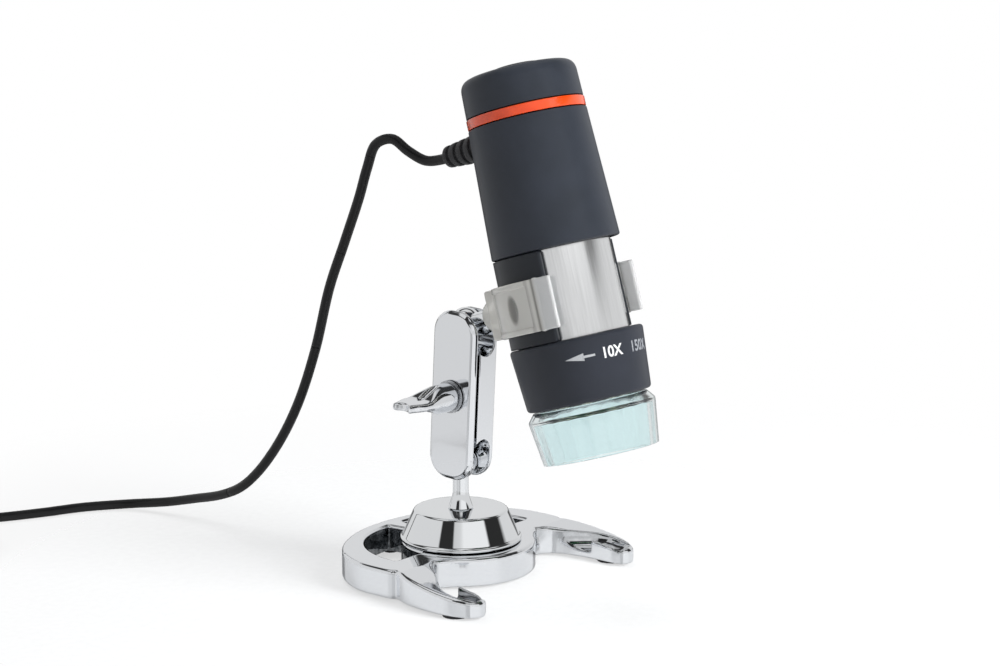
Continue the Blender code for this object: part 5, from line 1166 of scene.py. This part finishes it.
# Name, place, target and size in metres, power in watts
SOFT_BOXES = (
    ("key_soft_box", (0.14, -0.8, 0.5), (0, 0, 0.07), (0.4, 0.5), 11.0),
    ("fill_soft_box", (-0.85, -0.1, 0.55), (0, 0, 0.07), (0.45, 0.6), 0.8),
    ("top_soft_box", (0.1, 0.35, 1.0), (0, 0, 0.05), (0.8, 0.8), 4.0),
)


def make_world():
    """White for the camera and clear pieces, soft light for matt ones, and a dim room for mirrors."""
    world = bpy.data.worlds.new("studio")
    bpy.context.scene.world = world
    world.use_nodes = True
    tree = world.node_tree
    tree.nodes.clear()
    ray = add(tree, "LightPath")
    where = add(tree, "TexCoord")
    toward = add(tree, "VectorMath", [(0, where, "Generated")], operation="DOT_PRODUCT")
    toward.inputs[1].default_value = TO_CAMERA
    across = add(tree, "VectorMath", [(0, where, "Generated")], operation="DOT_PRODUCT")
    across.inputs[1].default_value = TO_RIGHT
    azimuth = add(tree, "Math", [(0, across, "Value"), (1, toward, "Value")], operation="ARCTAN2")
    turn = add(tree, "MapRange", [("Value", azimuth, "Value")], From_Min=-np.pi, From_Max=np.pi)
    level, rising = (
        add(tree, "ValToRGB", [("Fac", turn, "Result")],
            stops=[(degrees / 360 + 0.5, grey(value)) for degrees, value in room])
        for room in (LEVEL_ROOM, RISING_ROOM))
    split = add(tree, "SeparateXYZ", [("Vector", where, "Generated")])
    above = add(tree, "MapRange", [("Value", split, "Z")], From_Min=0.0, From_Max=0.07)
    lifted = add(tree, "MapRange", [("Value", split, "Z")], From_Min=0.28, From_Max=0.33)
    overhead = add(tree, "ValToRGB", [("Fac", split, "Z")],
                   stops=[(rise, grey(share)) for rise, share in OVERHEAD])
    beside = add(tree, "Background", [("Color", level, "Color")])
    behind = add(tree, "Background", Color=grey(0.8))
    upper = add(tree, "Background", [("Color", rising, "Color")])
    over = add(tree, "Background", Color=grey(0.05))
    room = beside
    for share, part in ((above, behind), (lifted, upper), (overhead, over)):
        room = add(tree, "MixShader", [(0, share, 0), (1, room, 0), (2, part, 0)])
    lit = add(tree, "Background", Color=tone("#F4F6FA"), Strength=0.27)
    seen = add(tree, "Background", Color=grey(1.0))
    glossy = add(tree, "MixShader", [(0, ray, "Is Glossy Ray"), (1, lit, 0), (2, room, 0)])
    direct = add(tree, "Math", [(0, ray, "Is Camera Ray"), (1, ray, "Is Transmission Ray")],
                 operation="MAXIMUM")
    out = add(tree, "MixShader", [(0, direct, "Value"), (1, glossy, 0), (2, seen, 0)])
    add(tree, "OutputWorld", [("Surface", out, 0)])


def make_floor():
    """A plain white sweep."""
    half = 6.0
    mesh = bpy.data.meshes.new("floor")
    mesh.from_pydata([(-half, -half, 0), (half, -half, 0), (half, half, 0), (-half, half, 0)], [],
                     [(0, 1, 2, 3)])
    floor = new_object("floor", mesh)
    mesh.materials.append(paper_sweep())


def make_lamps():
    """Three soft boxes, each upright and turned to its target; the mirrors don't show them."""
    for name, place, target, size, power in SOFT_BOXES:
        data = bpy.data.lights.new(name, "AREA")
        data.shape = "RECTANGLE"
        data.size, data.size_y = size
        data.energy = power
        lamp = new_object(name, data)
        back = np.array(place, float) - np.array(target, float)
        back /= np.linalg.norm(back)
        side = np.cross((0, 0, 1), back)
        side /= np.linalg.norm(side)
        aim(lamp, side, np.cross(back, side), back, place)
        lamp.visible_glossy = False


make_camera()
make_cords()
make_stand()
make_arm()
make_clip()
make_housing()
make_nose()
dress_cad_pieces()
make_marks()
make_world()
make_floor()
make_lamps()
bpy.context.scene.view_settings.view_transform = "Standard"
